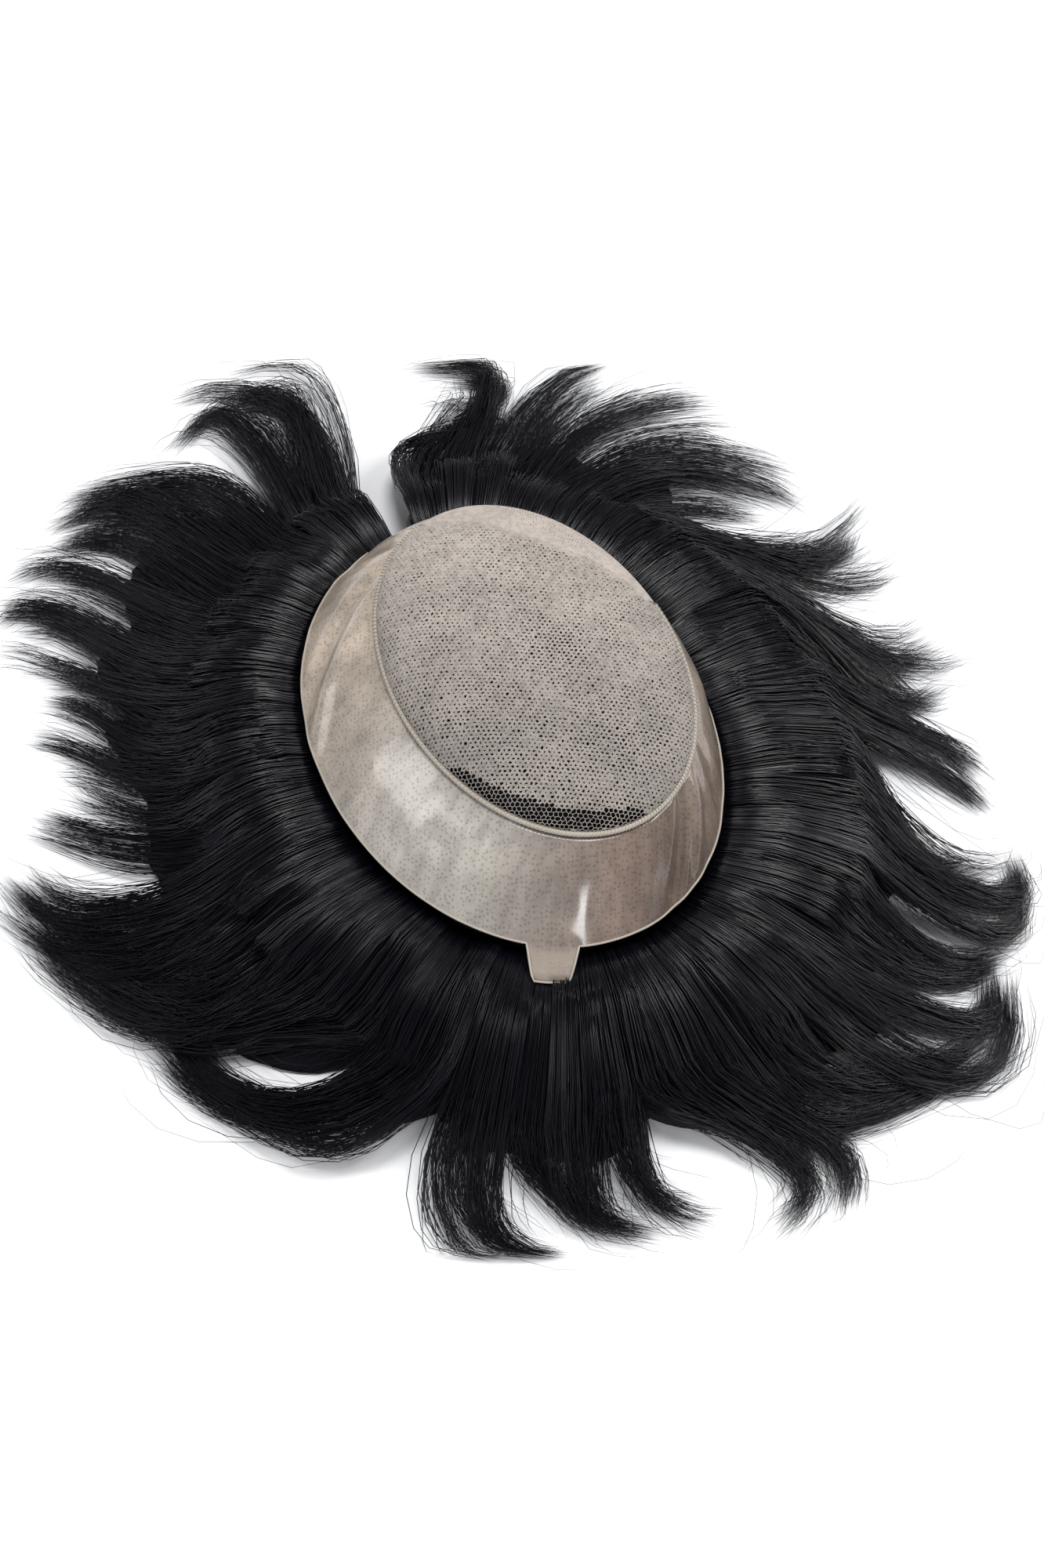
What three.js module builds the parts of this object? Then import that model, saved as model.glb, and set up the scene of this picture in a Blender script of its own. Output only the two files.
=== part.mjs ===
// A lace front hairpiece lying hair down on a table, with its cap turned scalp side out.
// The cap is a low dome: a lace crown and a fine lace front, sewn to a skirt of thin clear skin
// that flares out over the hair. The hair leaves the cap all round and lies on the table in locks.
// Millimetres, +Z up, the front of the cap towards +Y. Angles are degrees, anticlockwise from above.

import * as THREE from 'three';
import { mergeVertices } from 'three/addons/utils/BufferGeometryUtils.js';

// Driving dimensions

const WALL = 1;                 // lace and skin
const GAP = 0.3;                // between pieces that touch
const SAME_POINT = 1e-3;        // points closer than this are one

// The cap's outline is two ovals, the rim of the skirt and the seam of the crown. Their long axes
// are turned to the left of +Y, and an angle on them counts from the right hand end of the short axis.
const CAP_TURN = 25;
const RIM = { x: -1.5, y: 16, across: 79, along: 110, z: 28 };
const SEAM = { x: 8, y: 24, across: 57, along: 86, z: 57 };

const CROWN_RISE = 15;          // apex above the crown's edge
const CROWN_FLATNESS = 3;       // higher is flatter on top
const CROWN_SHOULDER = 0.55;    // lower is steeper at the edge
const CROWN_RINGS = [0, 0.25, 0.48, 0.68, 0.84, 0.94, 0.985, 1];

const WELT_RADIUS = 1.1;
const WELT_SIDES = 6;
const WELT_STEPS = 52;

const FRONT = { from: 3, to: 103, depth: 0.3, least: 0.06 };  // depths are shares of the crown
const FRONT_CROWN_RINGS = [0, 0.35, 0.7, 0.94];
const FRONT_WALL_RINGS = [0.12, 0.4, 0.7, 1];
const FRONT_SIDE_GAP = 0.5;     // angle between the lace front and the skirt's ends
const FRONT_EDGE_GAP = 0.6;     // between the lace front and the crown

const SKIRT_RINGS = [0, 0.2, 0.4, 0.6, 0.8, 0.96, 1];
const SKIRT_BOW = 2.5;          // how far the skirt bulges between seam and rim
const FOLD_AT_SEAM = 0.3;       // share of a fold's depth where the skirt is sewn down
const FOLDS = [                 // dents and ridges that run down the skirt
  { at: 116, half: 8, lift: -3 },
  { at: 131, half: 8, lift: 1.5 },
  { at: 166, half: 14, lift: -1.5 },
  { at: 238, half: 7, lift: 1.2 },
  { at: 260, half: 6, lift: 1.5 },
  { at: 281, half: 5, lift: 2 },
  { at: 291, half: 5, lift: -4.5 },
  { at: 301, half: 5, lift: 2.5 },
  { at: 313, half: 6, lift: -2 },
];
const TAB = { at: 248.5, rootHalf: 6.8, tipHalf: 3.9, length: 14, drop: 1.5 };
const TAB_CLEAR = 1;            // angle from the tab's corners within which no fold starts

const COLUMN_STEP = 6;          // facets round the cap
const HAIR_COLUMN_STEP = 7.5;
const CLOSEST_COLUMN = 0.25;    // even facets nearer than this share of a step to a wanted one give way

// The mat is the hair just under and round the cap: hollow inside, flat where it lies on the table.
const MAT = {
  wallReach: 50,                // outer wall past the rim, on average
  wallNearer: 9,                // more than that on the near side, less on the far one
  wallZ: 19,
  crestReach: 28,               // highest stretch of hair past the rim
  crestZ: 31,
  troughReach: 14,              // dip beside the rim, deep enough for the tab
  troughZ: 23,
  underRim: 6,
  footInside: 18,               // the foot's inner edge, inside the rim
  clearOfFolds: 7,              // below the skirt's dents
  underCrown: 0.96,             // share of the crown that it fills from below
  edgeDrop: 3,                  // further below the lace at the crown's edge
  edgeSharpness: 4,             // higher keeps that drop nearer the edge
  hollow: 0.9,                  // share of the crown over the hollow
  liningAtApex: 3,
  liningAtSeam: 5,
  liningAtRim: 11,
};
const PARTING = { at: 88, half: 6, reach: 14 };   // the hair falls apart here, down to the rim
const MAT_CROWN_RINGS = [0, 0.35, 0.68, 0.9, 0.985];
const MAT_SKIRT_RINGS = [0.12, 0.5, 0.9];

// Locks run anticlockwise from the parting, their roots evenly spaced on the mat's outer wall. A row
// says where the tip lies and which way it points, how far to the left of straight out the lock leaves,
// and how strongly it holds those two directions.
const LOCKS = [
  { tipX: -145, tipY: 206, points: 228, leans: -38, sweep: 2.3 },
  { tipX: -203, tipY: 152, points: 214, leans: -20, sweep: 1.5 },
  { tipX: -222, tipY: 122, points: 200, leans: -10, sweep: 1.2 },
  { tipX: -219, tipY: 88, points: 178, leans: 0, sweep: 1.1 },
  { tipX: -205, tipY: 40, points: 196, leans: 0, sweep: 1.1 },
  { tipX: -188, tipY: -8, points: 170, leans: 10, sweep: 1.2 },
  { tipX: -206, tipY: -44, points: 146, leans: 10, sweep: 1.5 },
  { tipX: -187, tipY: -70, points: 142, leans: 10, sweep: 1.5 },
  { tipX: -146, tipY: -106, points: 142, leans: 0, sweep: 1.4 },
  { tipX: -98, tipY: -150, points: 165, leans: 0, sweep: 1.3 },
  { tipX: 8, tipY: -198, points: 330, leans: -10, sweep: 1.4 },
  { tipX: 60, tipY: -197, points: 318, leans: -5, sweep: 1.3 },
  { tipX: 101, tipY: -186, points: 290, leans: 0, sweep: 1.3 },
  { tipX: 121, tipY: -160, points: 300, leans: 0, sweep: 1.2 },
  { tipX: 164, tipY: -130, points: 22, leans: -10, sweep: 1.6 },
  { tipX: 201, tipY: -82, points: 80, leans: -15, sweep: 1.8 },
  { tipX: 205, tipY: -42, points: 72, leans: -15, sweep: 1.7 },
  { tipX: 189, tipY: -22, points: 350, leans: -5, sweep: 1.2 },
  { tipX: 188, tipY: 6, points: 335, leans: -5, sweep: 1.2 },
  { tipX: 172, tipY: 32, points: 325, leans: -10, sweep: 1.2 },
  { tipX: 186, tipY: 66, points: 10, leans: -20, sweep: 1.5 },
  { tipX: 152, tipY: 156, points: 62, leans: -10, sweep: 1.2 },
  { tipX: 106, tipY: 196, points: 28, leans: -8, sweep: 1.2 },
  { tipX: 54, tipY: 238, points: 22, leans: -15, sweep: 1.4 },
  { tipX: -44, tipY: 229, points: 178, leans: -10, sweep: 2.0 },
];
const LOCK_STATIONS = 9;
const LOCK_SAMPLES = 40;        // points on a neighbour's line that a lock keeps clear of
const LOCK_TAPER = 0.42;        // lower keeps a lock wide until nearer its tip
const LOCK_SWELLS = 0.7;        // how much a lock widens as the hair fans out
const LOCK_CROWDING = 0.44;     // share of the way to the next lock that one may fill
const LOCK_SETTLES = 0.4;       // share of its length over which a lock turns to its own way
const LOCK_TIP = { half: 1.2, height: 2 };
const LOCK_SECTION = [          // shares of the half width and of the height, flat underneath
  { side: -0.85, up: 0 },
  { side: 0.85, up: 0 },
  { side: 1, up: 0.35 },
  { side: 0.5, up: 1 },
  { side: -0.5, up: 1 },
  { side: -1, up: 0.35 },
];

const LACE = { color: 0xb4aba2, roughness: 0.85, metalness: 0 };
const FINE_LACE = { color: 0xc5b8af, roughness: 0.8, metalness: 0 };
const SKIN = { color: 0xa89d90, roughness: 0.25, metalness: 0 };
const THREAD = { color: 0xc8bfb2, roughness: 0.6, metalness: 0 };
const HAIR = { color: 0x16151b, roughness: 0.35, metalness: 0 };

// Curves and surfaces of the cap

const { clamp, degToRad, lerp } = THREE.MathUtils;

function onOval(oval, angle) {
  const across = oval.across * Math.cos(degToRad(angle));
  const along = oval.along * Math.sin(degToRad(angle));
  const turned = new THREE.Vector2(across, along).rotateAround(new THREE.Vector2(), degToRad(CAP_TURN));
  return turned.add(new THREE.Vector2(oval.x, oval.y));
}

// The level direction straight out from the rim.
function outward(angle) {
  const turn = degToRad(angle);
  const slope = new THREE.Vector2(Math.cos(turn) / RIM.across, Math.sin(turn) / RIM.along);
  return slope.normalize().rotateAround(new THREE.Vector2(), degToRad(CAP_TURN));
}

// A point some way out from the rim, at a height.
function beyondRim(angle, reach, z) {
  const at = onOval(RIM, angle).addScaledVector(outward(angle), reach);
  return new THREE.Vector3(at.x, at.y, z);
}

// A smooth hump of height 1 at its middle and 0 at its half width and past it.
function hump(angle, at, half) {
  const away = Math.abs(((angle - at + 540) % 360) - 180) / half;
  return away < 1 ? Math.cos((away * Math.PI) / 2) ** 2 : 0;
}

const CROWN_EDGE_Z = SEAM.z + WELT_RADIUS + GAP;

function crownPoint(angle, share) {
  const edge = onOval(SEAM, angle);
  const z = CROWN_EDGE_Z + CROWN_RISE * (1 - share ** CROWN_FLATNESS) ** CROWN_SHOULDER;
  return new THREE.Vector3(lerp(SEAM.x, edge.x, share), lerp(SEAM.y, edge.y, share), z);
}

// A point between the seam, at 0, and the rim, at 1, with the way that the skirt faces there.
function skirtFrame(angle, down) {
  const seam = onOval(SEAM, angle);
  const rim = onOval(RIM, angle);
  const top = new THREE.Vector3(seam.x, seam.y, SEAM.z);
  const fall = new THREE.Vector3(rim.x, rim.y, RIM.z).sub(top);
  const level = Math.hypot(fall.x, fall.y);
  const slope = -fall.z / level;
  const faces = new THREE.Vector3(slope * fall.x, slope * fall.y, level).normalize();
  const bow = SKIRT_BOW * Math.sin(Math.PI * down);
  return { point: top.addScaledVector(fall, down).addScaledVector(faces, bow), faces };
}

function skirtPoint(angle, down) {
  const { point, faces } = skirtFrame(angle, down);
  const lift = FOLDS.reduce((sum, fold) => sum + fold.lift * hump(angle, fold.at, fold.half), 0);
  point.addScaledVector(faces, lift * lerp(FOLD_AT_SEAM, 1, down));
  if (down === 1) {
    const within = (TAB.rootHalf - Math.abs(angle - TAB.at)) / (TAB.rootHalf - TAB.tipHalf);
    const tab = clamp(within, 0, 1);
    const reach = outward(angle).multiplyScalar(tab * TAB.length);
    point.add(new THREE.Vector3(reach.x, reach.y, -tab * TAB.drop));
  }
  return point;
}

// The lace front's inner edge, as a share of the way from the crown's apex to its edge.
function frontEdge(angle) {
  const along = clamp((angle - FRONT.from) / (FRONT.to - FRONT.from), 0, 1);
  return 1 - lerp(FRONT.least, FRONT.depth, Math.sin(Math.PI * along));
}

// Solids from grids of points

function angles(from, to, step, extra = []) {
  const count = Math.round((to - from) / step);
  const even = Array.from({ length: count + 1 }, (_, i) => lerp(from, to, i / count));
  const kept = even.filter((angle) => extra.every((other) => Math.abs(angle - other) > step * CLOSEST_COLUMN));
  return [...kept, ...extra.filter((angle) => angle >= from && angle <= to)].sort((a, b) => a - b);
}

function joined(geometry) {
  const merged = mergeVertices(geometry, SAME_POINT);
  merged.computeVertexNormals();
  return merged;
}

function solid(triangles) {
  const apart = triangles.filter(([a, b, c]) => (
    Math.min(a.distanceTo(b), b.distanceTo(c), c.distanceTo(a)) > SAME_POINT
  ));
  return joined(new THREE.BufferGeometry().setFromPoints(apart.flat()));
}

function quad(a, b, c, d) {
  return [[a, b, c], [a, c, d]];
}

// The faces between rows of points, each row running anticlockwise and the rows going down the outside.
function skin(rows, ring) {
  const faces = [];
  for (let i = 0; i + 1 < rows.length; i++) {
    const columns = rows[i].length;
    for (let j = 0; j < (ring ? columns : columns - 1); j++) {
      const next = (j + 1) % columns;
      faces.push(...quad(rows[i][j], rows[i + 1][j], rows[i + 1][next], rows[i][next]));
    }
  }
  return faces;
}

function facing(rows, i, j, ring) {
  const columns = rows[i].length;
  const before = ring ? (j - 1 + columns) % columns : Math.max(j - 1, 0);
  const after = ring ? (j + 1) % columns : Math.min(j + 1, columns - 1);
  const down = rows[Math.min(i + 1, rows.length - 1)][j].clone().sub(rows[Math.max(i - 1, 0)][j]);
  const round = rows[i][after].clone().sub(rows[i][before]);
  const out = down.cross(round);
  return out.length() > SAME_POINT ? out.normalize() : new THREE.Vector3(0, 0, 1);
}

// A wall of even thickness under a grid of points.
function wall(rows, ring) {
  const under = rows.map((row, i) => (
    row.map((point, j) => point.clone().addScaledVector(facing(rows, i, j, ring), -WALL))
  ));
  const last = rows.length - 1;
  const turned = (faces) => faces.map(([a, b, c]) => [a, c, b]);
  const faces = [...skin(rows, ring), ...turned(skin(under, ring))];
  faces.push(...skin([rows[last], under[last]], ring), ...skin([under[0], rows[0]], ring));
  if (!ring) {
    const end = rows[0].length - 1;
    const column = (grid, j) => grid.map((row) => row[j]);
    faces.push(...skin([column(rows, 0), column(under, 0)], false));
    faces.push(...turned(skin([column(rows, end), column(under, end)], false)));
  }
  return solid(faces);
}

// The pieces

function crown() {
  const sides = [FRONT.from - FRONT_SIDE_GAP, FRONT.from, FRONT.to, FRONT.to + FRONT_SIDE_GAP];
  const round = angles(0, 360 - COLUMN_STEP, COLUMN_STEP, sides);
  const share = (angle, ring) => {
    const cut = angle >= FRONT.from && angle <= FRONT.to;
    return cut ? ring * (frontEdge(angle) - FRONT_EDGE_GAP / SEAM.across) : ring;
  };
  const rows = CROWN_RINGS.map((ring) => round.map((angle) => crownPoint(angle, share(angle, ring))));
  return wall(rows, true);
}

function laceFront() {
  const round = angles(FRONT.from + FRONT_SIDE_GAP, FRONT.to - FRONT_SIDE_GAP, COLUMN_STEP);
  const onCrown = FRONT_CROWN_RINGS.map((ring) => (
    round.map((angle) => crownPoint(angle, lerp(frontEdge(angle), 1, ring)))
  ));
  const onWall = FRONT_WALL_RINGS.map((down) => round.map((angle) => skirtFrame(angle, down).point));
  return wall([...onCrown, ...onWall], false);
}

function skirt() {
  const from = FRONT.to + FRONT_SIDE_GAP;
  const to = FRONT.from + 360 - FRONT_SIDE_GAP;
  const folds = FOLDS.flatMap((fold) => [-1, -0.5, 0, 0.5].map((share) => fold.at + share * fold.half));
  const tab = [-TAB.rootHalf, -TAB.tipHalf, 0, TAB.tipHalf, TAB.rootHalf].map((off) => TAB.at + off);
  const clearOfTab = folds.filter((angle) => tab.every((edge) => Math.abs(angle - edge) > TAB_CLEAR));
  const round = angles(from, to, COLUMN_STEP, [from, to, ...tab, ...clearOfTab]);
  const start = (WELT_RADIUS + GAP) / (SEAM.z - RIM.z);
  const rows = SKIRT_RINGS.map((ring) => round.map((angle) => skirtPoint(angle, lerp(start, 1, ring))));
  return wall(rows, false);
}

function welt() {
  const from = FRONT.to + FRONT_SIDE_GAP;
  const to = FRONT.from + 360 - FRONT_SIDE_GAP;
  const circle = new THREE.EllipseCurve(0, 0, WELT_RADIUS, WELT_RADIUS);
  const section = new THREE.Shape(circle.getPoints(WELT_SIDES).slice(0, -1));
  const path = new THREE.CatmullRomCurve3(angles(from, to, COLUMN_STEP, [from, to]).map((angle) => {
    const at = onOval(SEAM, angle);
    return new THREE.Vector3(at.x, at.y, SEAM.z);
  }));
  const tube = new THREE.ExtrudeGeometry(section, { steps: WELT_STEPS, extrudePath: path });
  tube.deleteAttribute('normal');
  tube.deleteAttribute('uv');
  return joined(tube);
}

// How far the mat reaches past the rim: further on the near side than on the far one.
function fullReach(angle) {
  return MAT.wallReach - MAT.wallNearer * Math.sin(degToRad(angle));
}

function matReach(angle) {
  return lerp(fullReach(angle), PARTING.reach, hump(angle, PARTING.at, PARTING.half));
}

function mat() {
  const parting = [-1, -0.5, 0, 0.5, 1].map((share) => PARTING.at + share * PARTING.half);
  const round = angles(0, 360 - HAIR_COLUMN_STEP, HAIR_COLUMN_STEP, parting);
  const underCrown = (angle, ring, depth) => {
    const point = crownPoint(angle, ring);
    return point.setZ(point.z - WALL - GAP - depth);
  };
  const underSkirt = (angle, down, depth) => {
    const { point, faces } = skirtFrame(angle, down);
    return point.addScaledVector(faces, -WALL - MAT.clearOfFolds - depth);
  };
  const row = (point) => round.map(point);
  const past = (reach, z) => row((angle) => {
    const drawnIn = Math.min(1, matReach(angle) / MAT.wallReach);
    return beyondRim(angle, reach * drawnIn, z);
  });
  return solid(skin([
    ...MAT_CROWN_RINGS.map((ring) => (
      row((angle) => underCrown(angle, ring * MAT.underCrown, MAT.edgeDrop * ring ** MAT.edgeSharpness))
    )),
    ...MAT_SKIRT_RINGS.map((down) => row((angle) => underSkirt(angle, down, 0))),
    past(0, RIM.z - MAT.underRim),
    past(MAT.troughReach, MAT.troughZ),
    past(MAT.crestReach, MAT.crestZ),
    row((angle) => beyondRim(angle, matReach(angle), MAT.wallZ)),
    row((angle) => beyondRim(angle, matReach(angle), 0)),
    row((angle) => beyondRim(angle, -MAT.footInside, 0)),
    ...MAT_SKIRT_RINGS.toReversed().map((down) => (
      row((angle) => underSkirt(angle, down, lerp(MAT.liningAtSeam, MAT.liningAtRim, down)))
    )),
    ...MAT_CROWN_RINGS.toReversed().map((ring) => (
      row((angle) => underCrown(angle, ring * MAT.hollow, lerp(MAT.liningAtApex, MAT.liningAtSeam, ring)))
    )),
  ], true));
}

// Evenly spaced places on the mat's outer wall, from one side of the parting round to the other.
function lockRoots() {
  const from = PARTING.at + PARTING.half;
  const to = PARTING.at - PARTING.half + 360;
  const edge = new THREE.CatmullRomCurve3(angles(from, to, HAIR_COLUMN_STEP).map((angle) => (
    beyondRim(angle, fullReach(angle) + GAP, 0)
  )));
  const room = edge.getLength() / LOCKS.length;
  return LOCKS.map((_, i) => {
    const share = (i + 0.5) / LOCKS.length;
    const along = edge.getTangentAt(share);
    return { at: edge.getPointAt(share), leaves: new THREE.Vector3(along.y, -along.x, 0), room };
  });
}

// The middle line of a lock, from its root to its tip.
function lockLine(root, lock) {
  const tip = new THREE.Vector3(lock.tipX, lock.tipY, 0);
  const pull = (lock.sweep / 3) * root.at.distanceTo(tip);
  const up = new THREE.Vector3(0, 0, 1);
  const points = new THREE.Vector3(1, 0, 0).applyAxisAngle(up, degToRad(lock.points));
  const leaves = root.leaves.clone().applyAxisAngle(up, degToRad(lock.leans));
  const first = root.at.clone().addScaledVector(leaves, pull);
  return new THREE.CubicBezierCurve3(root.at, first, tip.clone().addScaledVector(points, -pull), tip);
}

// A lock round its middle line, flat on the table and kept clear of the lines beside it.
function lock(line, beside, root) {
  const crowd = beside.flatMap((other) => other.getSpacedPoints(LOCK_SAMPLES));
  const sections = [];
  for (let i = 0; i <= LOCK_STATIONS; i++) {
    const share = i / LOCK_STATIONS;
    const middle = line.getPointAt(share);
    const settled = Math.min(share / LOCK_SETTLES, 1);
    const ahead = root.leaves.clone().lerp(line.getTangentAt(share), settled).normalize();
    const side = new THREE.Vector3(ahead.y, -ahead.x, 0);
    const full = (1 - share) ** LOCK_TAPER;
    const wanted = lerp(LOCK_TIP.half, (root.room / 2) * (1 + LOCK_SWELLS * share), full);
    const nearest = Math.min(...crowd.map((point) => point.distanceTo(middle)));
    const half = Math.min(wanted, Math.max(nearest * LOCK_CROWDING, LOCK_TIP.half));
    const height = lerp(LOCK_TIP.height, MAT.wallZ, full);
    sections.push(LOCK_SECTION.map((corner) => (
      middle.clone().addScaledVector(side, corner.side * half).setZ(corner.up * height)
    )));
  }
  const cap = (section) => section.slice(2).map((corner, i) => [section[0], section[i + 1], corner]);
  const turned = (faces) => faces.map(([a, b, c]) => [a, c, b]);
  return solid([...skin(sections, true), ...cap(sections[0]), ...turned(cap(sections[LOCK_STATIONS]))]);
}

// The whole hairpiece, its box centred over the origin

const hairpiece = new THREE.Group();

function place(name, geometry, finish) {
  const mesh = new THREE.Mesh(geometry, new THREE.MeshStandardMaterial(finish));
  mesh.name = name;
  hairpiece.add(mesh);
}

place('lace_crown', crown(), LACE);
place('lace_front', laceFront(), FINE_LACE);
place('skin_skirt', skirt(), SKIN);
place('seam_welt', welt(), THREAD);
place('hair_mat', mat(), HAIR);

const roots = lockRoots();
const lines = LOCKS.map((row, i) => lockLine(roots[i], row));
lines.forEach((line, i) => {
  const beside = [lines[i - 1], lines[i + 1]].filter(Boolean);
  place(`hair_lock_${String(i + 1).padStart(2, '0')}`, lock(line, beside, roots[i]), HAIR);
});

const box = new THREE.Box3().setFromObject(hairpiece);
const middle = box.getCenter(new THREE.Vector3());
hairpiece.position.set(-middle.x, -middle.y, -box.min.z);

export default hairpiece;
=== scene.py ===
# %% [markdown]
# # A lace front hairpiece, lying on its hair
#
# The cap lies on a table with its scalp side out: a low dome of net, a finer net along its front, and a
# skirt of thin clear film sewn round it. Under the rim the black hair comes out, arches up and falls to the
# table in a fan of curved locks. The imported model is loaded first, and everything else is made in its frame.

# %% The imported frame
import math

import bmesh
import bpy
import numpy as np
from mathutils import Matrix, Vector, noise


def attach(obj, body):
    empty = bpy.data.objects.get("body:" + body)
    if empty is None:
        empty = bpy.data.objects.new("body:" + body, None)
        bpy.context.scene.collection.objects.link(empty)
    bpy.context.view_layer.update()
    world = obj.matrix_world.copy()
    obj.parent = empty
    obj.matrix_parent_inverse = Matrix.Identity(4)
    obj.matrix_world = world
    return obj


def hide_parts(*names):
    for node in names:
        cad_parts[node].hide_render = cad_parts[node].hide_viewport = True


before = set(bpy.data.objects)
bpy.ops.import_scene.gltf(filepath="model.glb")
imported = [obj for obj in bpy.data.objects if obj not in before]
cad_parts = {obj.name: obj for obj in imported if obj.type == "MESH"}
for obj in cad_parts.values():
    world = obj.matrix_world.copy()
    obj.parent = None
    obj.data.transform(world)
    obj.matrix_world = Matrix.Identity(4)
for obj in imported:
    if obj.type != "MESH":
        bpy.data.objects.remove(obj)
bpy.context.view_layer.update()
scene = bpy.context.scene
MM = 0.001


# %% [markdown]
# ## The view
#
# The picture was taken from above the near edge of the table. A camera a metre away, 55 degrees above the
# table, gives the dome and its skirt the same proportions. A long lens would flatten the dome and a short one
# would swell it, so the lens is chosen to show 0.315 mm for each pixel at the dome.

# %% The camera
LOOK_AT = Vector((8.8, -28.0, 20.0)) * MM
CAMERA_HEIGHT_ANGLE = math.radians(55)
CAMERA_DISTANCE = 1.0
LENS, SENSOR = 57.1, 36                  # mm
camera = bpy.data.objects.new("camera", bpy.data.cameras.new("camera"))
scene.collection.objects.link(camera)
way_back = Vector((0, -math.cos(CAMERA_HEIGHT_ANGLE), math.sin(CAMERA_HEIGHT_ANGLE)))
camera.location = LOOK_AT + way_back * CAMERA_DISTANCE
camera.rotation_euler = way_back.to_track_quat("Z", "Y").to_euler()
camera.data.lens = LENS
camera.data.sensor_width = SENSOR
scene.camera = camera
print("camera at", [round(c, 3) for c in camera.location])

# %% [markdown]
# ## Light and table
#
# The table is white and bright, so that its edge with the background can't be seen. One large light would
# leave the hair flat, so four soft ones share the work. The one overhead and the window at the right draw the
# sheen over the crest of the hair. The low strip in front leaves a streak on the film beside its tab, and the
# wall at the left gives the film its milky sheens. The world fills the shadows with white.

# %% Lights
LIGHTS = [
    # name, place in m, width and height in m, power in W
    ("overhead", (0.1, 0.4, 1.6), 0.6, 0.6, 16),
    ("right_window", (1.0, 0.2, 1.1), 0.5, 0.5, 9),
    ("front_strip", (0.16, -1.5, 0.45), 0.44, 0.5, 9),
    ("left_wall", (-1.5, -0.1, 1.0), 0.8, 0.9, 8.3),
]


def add_light(name, place, width, height, power):
    lamp = bpy.data.lights.new(name, "AREA")
    lamp.shape = "RECTANGLE"
    lamp.size = width
    lamp.size_y = height
    lamp.energy = power
    light = bpy.data.objects.new(name, lamp)
    light.location = place
    light.rotation_euler = (Vector(place) - LOOK_AT).to_track_quat("Z", "Y").to_euler()
    scene.collection.objects.link(light)


for row in LIGHTS:
    add_light(*row)
print("lights:", [row[0] for row in LIGHTS])

# %% World and table
TABLE_SIZE = 4                           # m
world = bpy.data.worlds.new("white_room")
world.use_nodes = True
world.node_tree.nodes["Background"].inputs["Color"].default_value = (0.97, 0.98, 1.0, 1)
world.node_tree.nodes["Background"].inputs["Strength"].default_value = 0.3
scene.world = world
scene.view_settings.view_transform = "Standard"

table_mesh = bmesh.new()
bmesh.ops.create_grid(table_mesh, x_segments=1, y_segments=1, size=TABLE_SIZE)
table = bpy.data.objects.new("table", bpy.data.meshes.new("table"))
table_mesh.to_mesh(table.data)
table_mesh.free()
scene.collection.objects.link(table)
print("table:", len(table.data.polygons), "face")

# %% [markdown]
# ## A short way to write materials
#
# A material is a graph of nodes, and its maths is easier to read as Python. `Wire` holds one socket and adds
# a Math node for each operator. `Finish` holds one material: its `node` method makes any node from its type,
# its settings and what its sockets take.

# %% Wires
class Wire:
    """A socket of a material. Arithmetic on it adds Math nodes."""

    def __init__(self, finish, socket):
        self.finish = finish
        self.socket = socket

    def maths(self, operation, first, second):
        return self.finish.node("ShaderNodeMath", {"operation": operation}, {0: first, 1: second})

    def __add__(self, other):
        return self.maths("ADD", self, other)

    def __radd__(self, other):
        return self.maths("ADD", other, self)

    def __sub__(self, other):
        return self.maths("SUBTRACT", self, other)

    def __rsub__(self, other):
        return self.maths("SUBTRACT", other, self)

    def __mul__(self, other):
        return self.maths("MULTIPLY", self, other)

    def __rmul__(self, other):
        return self.maths("MULTIPLY", other, self)


print("a wire can be added, subtracted and multiplied")

# %% Finishes
class Finish:
    """A material whose Principled shader is fed by wires."""

    def __init__(self, name, constants):
        self.material = bpy.data.materials.new(name)
        self.material.use_nodes = True
        self.tree = self.material.node_tree
        self.shader = self.tree.nodes["Principled BSDF"]
        for socket, value in constants.items():
            self.shader.inputs[socket].default_value = value

    def feed(self, socket, value):
        if isinstance(value, Wire):
            self.tree.links.new(value.socket, socket)
        else:
            socket.default_value = value

    def node(self, kind, settings=None, sockets=None, out=0):
        made = self.tree.nodes.new(kind)
        for name, value in (settings or {}).items():
            if name == "stops":
                for spare in list(made.color_ramp.elements)[1:]:
                    made.color_ramp.elements.remove(spare)
                for place, colour in value:
                    made.color_ramp.elements.new(place).color = (*colour, 1)
                made.color_ramp.elements.remove(made.color_ramp.elements[0])
            else:
                setattr(made, name, value)
        for name, value in (sockets or {}).items():
            self.feed(made.inputs[name], value)
        return Wire(self, made.outputs[out])

    def shade(self, sockets):
        for name, value in sockets.items():
            self.feed(self.shader.inputs[name], value)

    def noise(self, vector, scale, detail=2.0, roughness=0.5):
        return self.node(
            "ShaderNodeTexNoise", {},
            {"Vector": vector, "Scale": scale, "Detail": detail, "Roughness": roughness},
        )

    def between(self, factor, first, second):
        """A mix of two colours."""
        return self.node("ShaderNodeMix", {"data_type": "RGBA"}, {0: factor, 6: first, 7: second}, 2)

    def band(self, value, low, high):
        """0 where the value is below low, 1 above high, and a smooth step between them."""
        smooth = {"interpolation_type": "SMOOTHSTEP"}
        return self.node("ShaderNodeMapRange", smooth, {0: value, 1: low, 2: high})


print("a finish can make noise, mixes and smooth steps")

# %% [markdown]
# The table is the first thing to get a finish. Plain white would do, but a very faint, slow change of tone
# keeps it from looking drawn.

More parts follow.
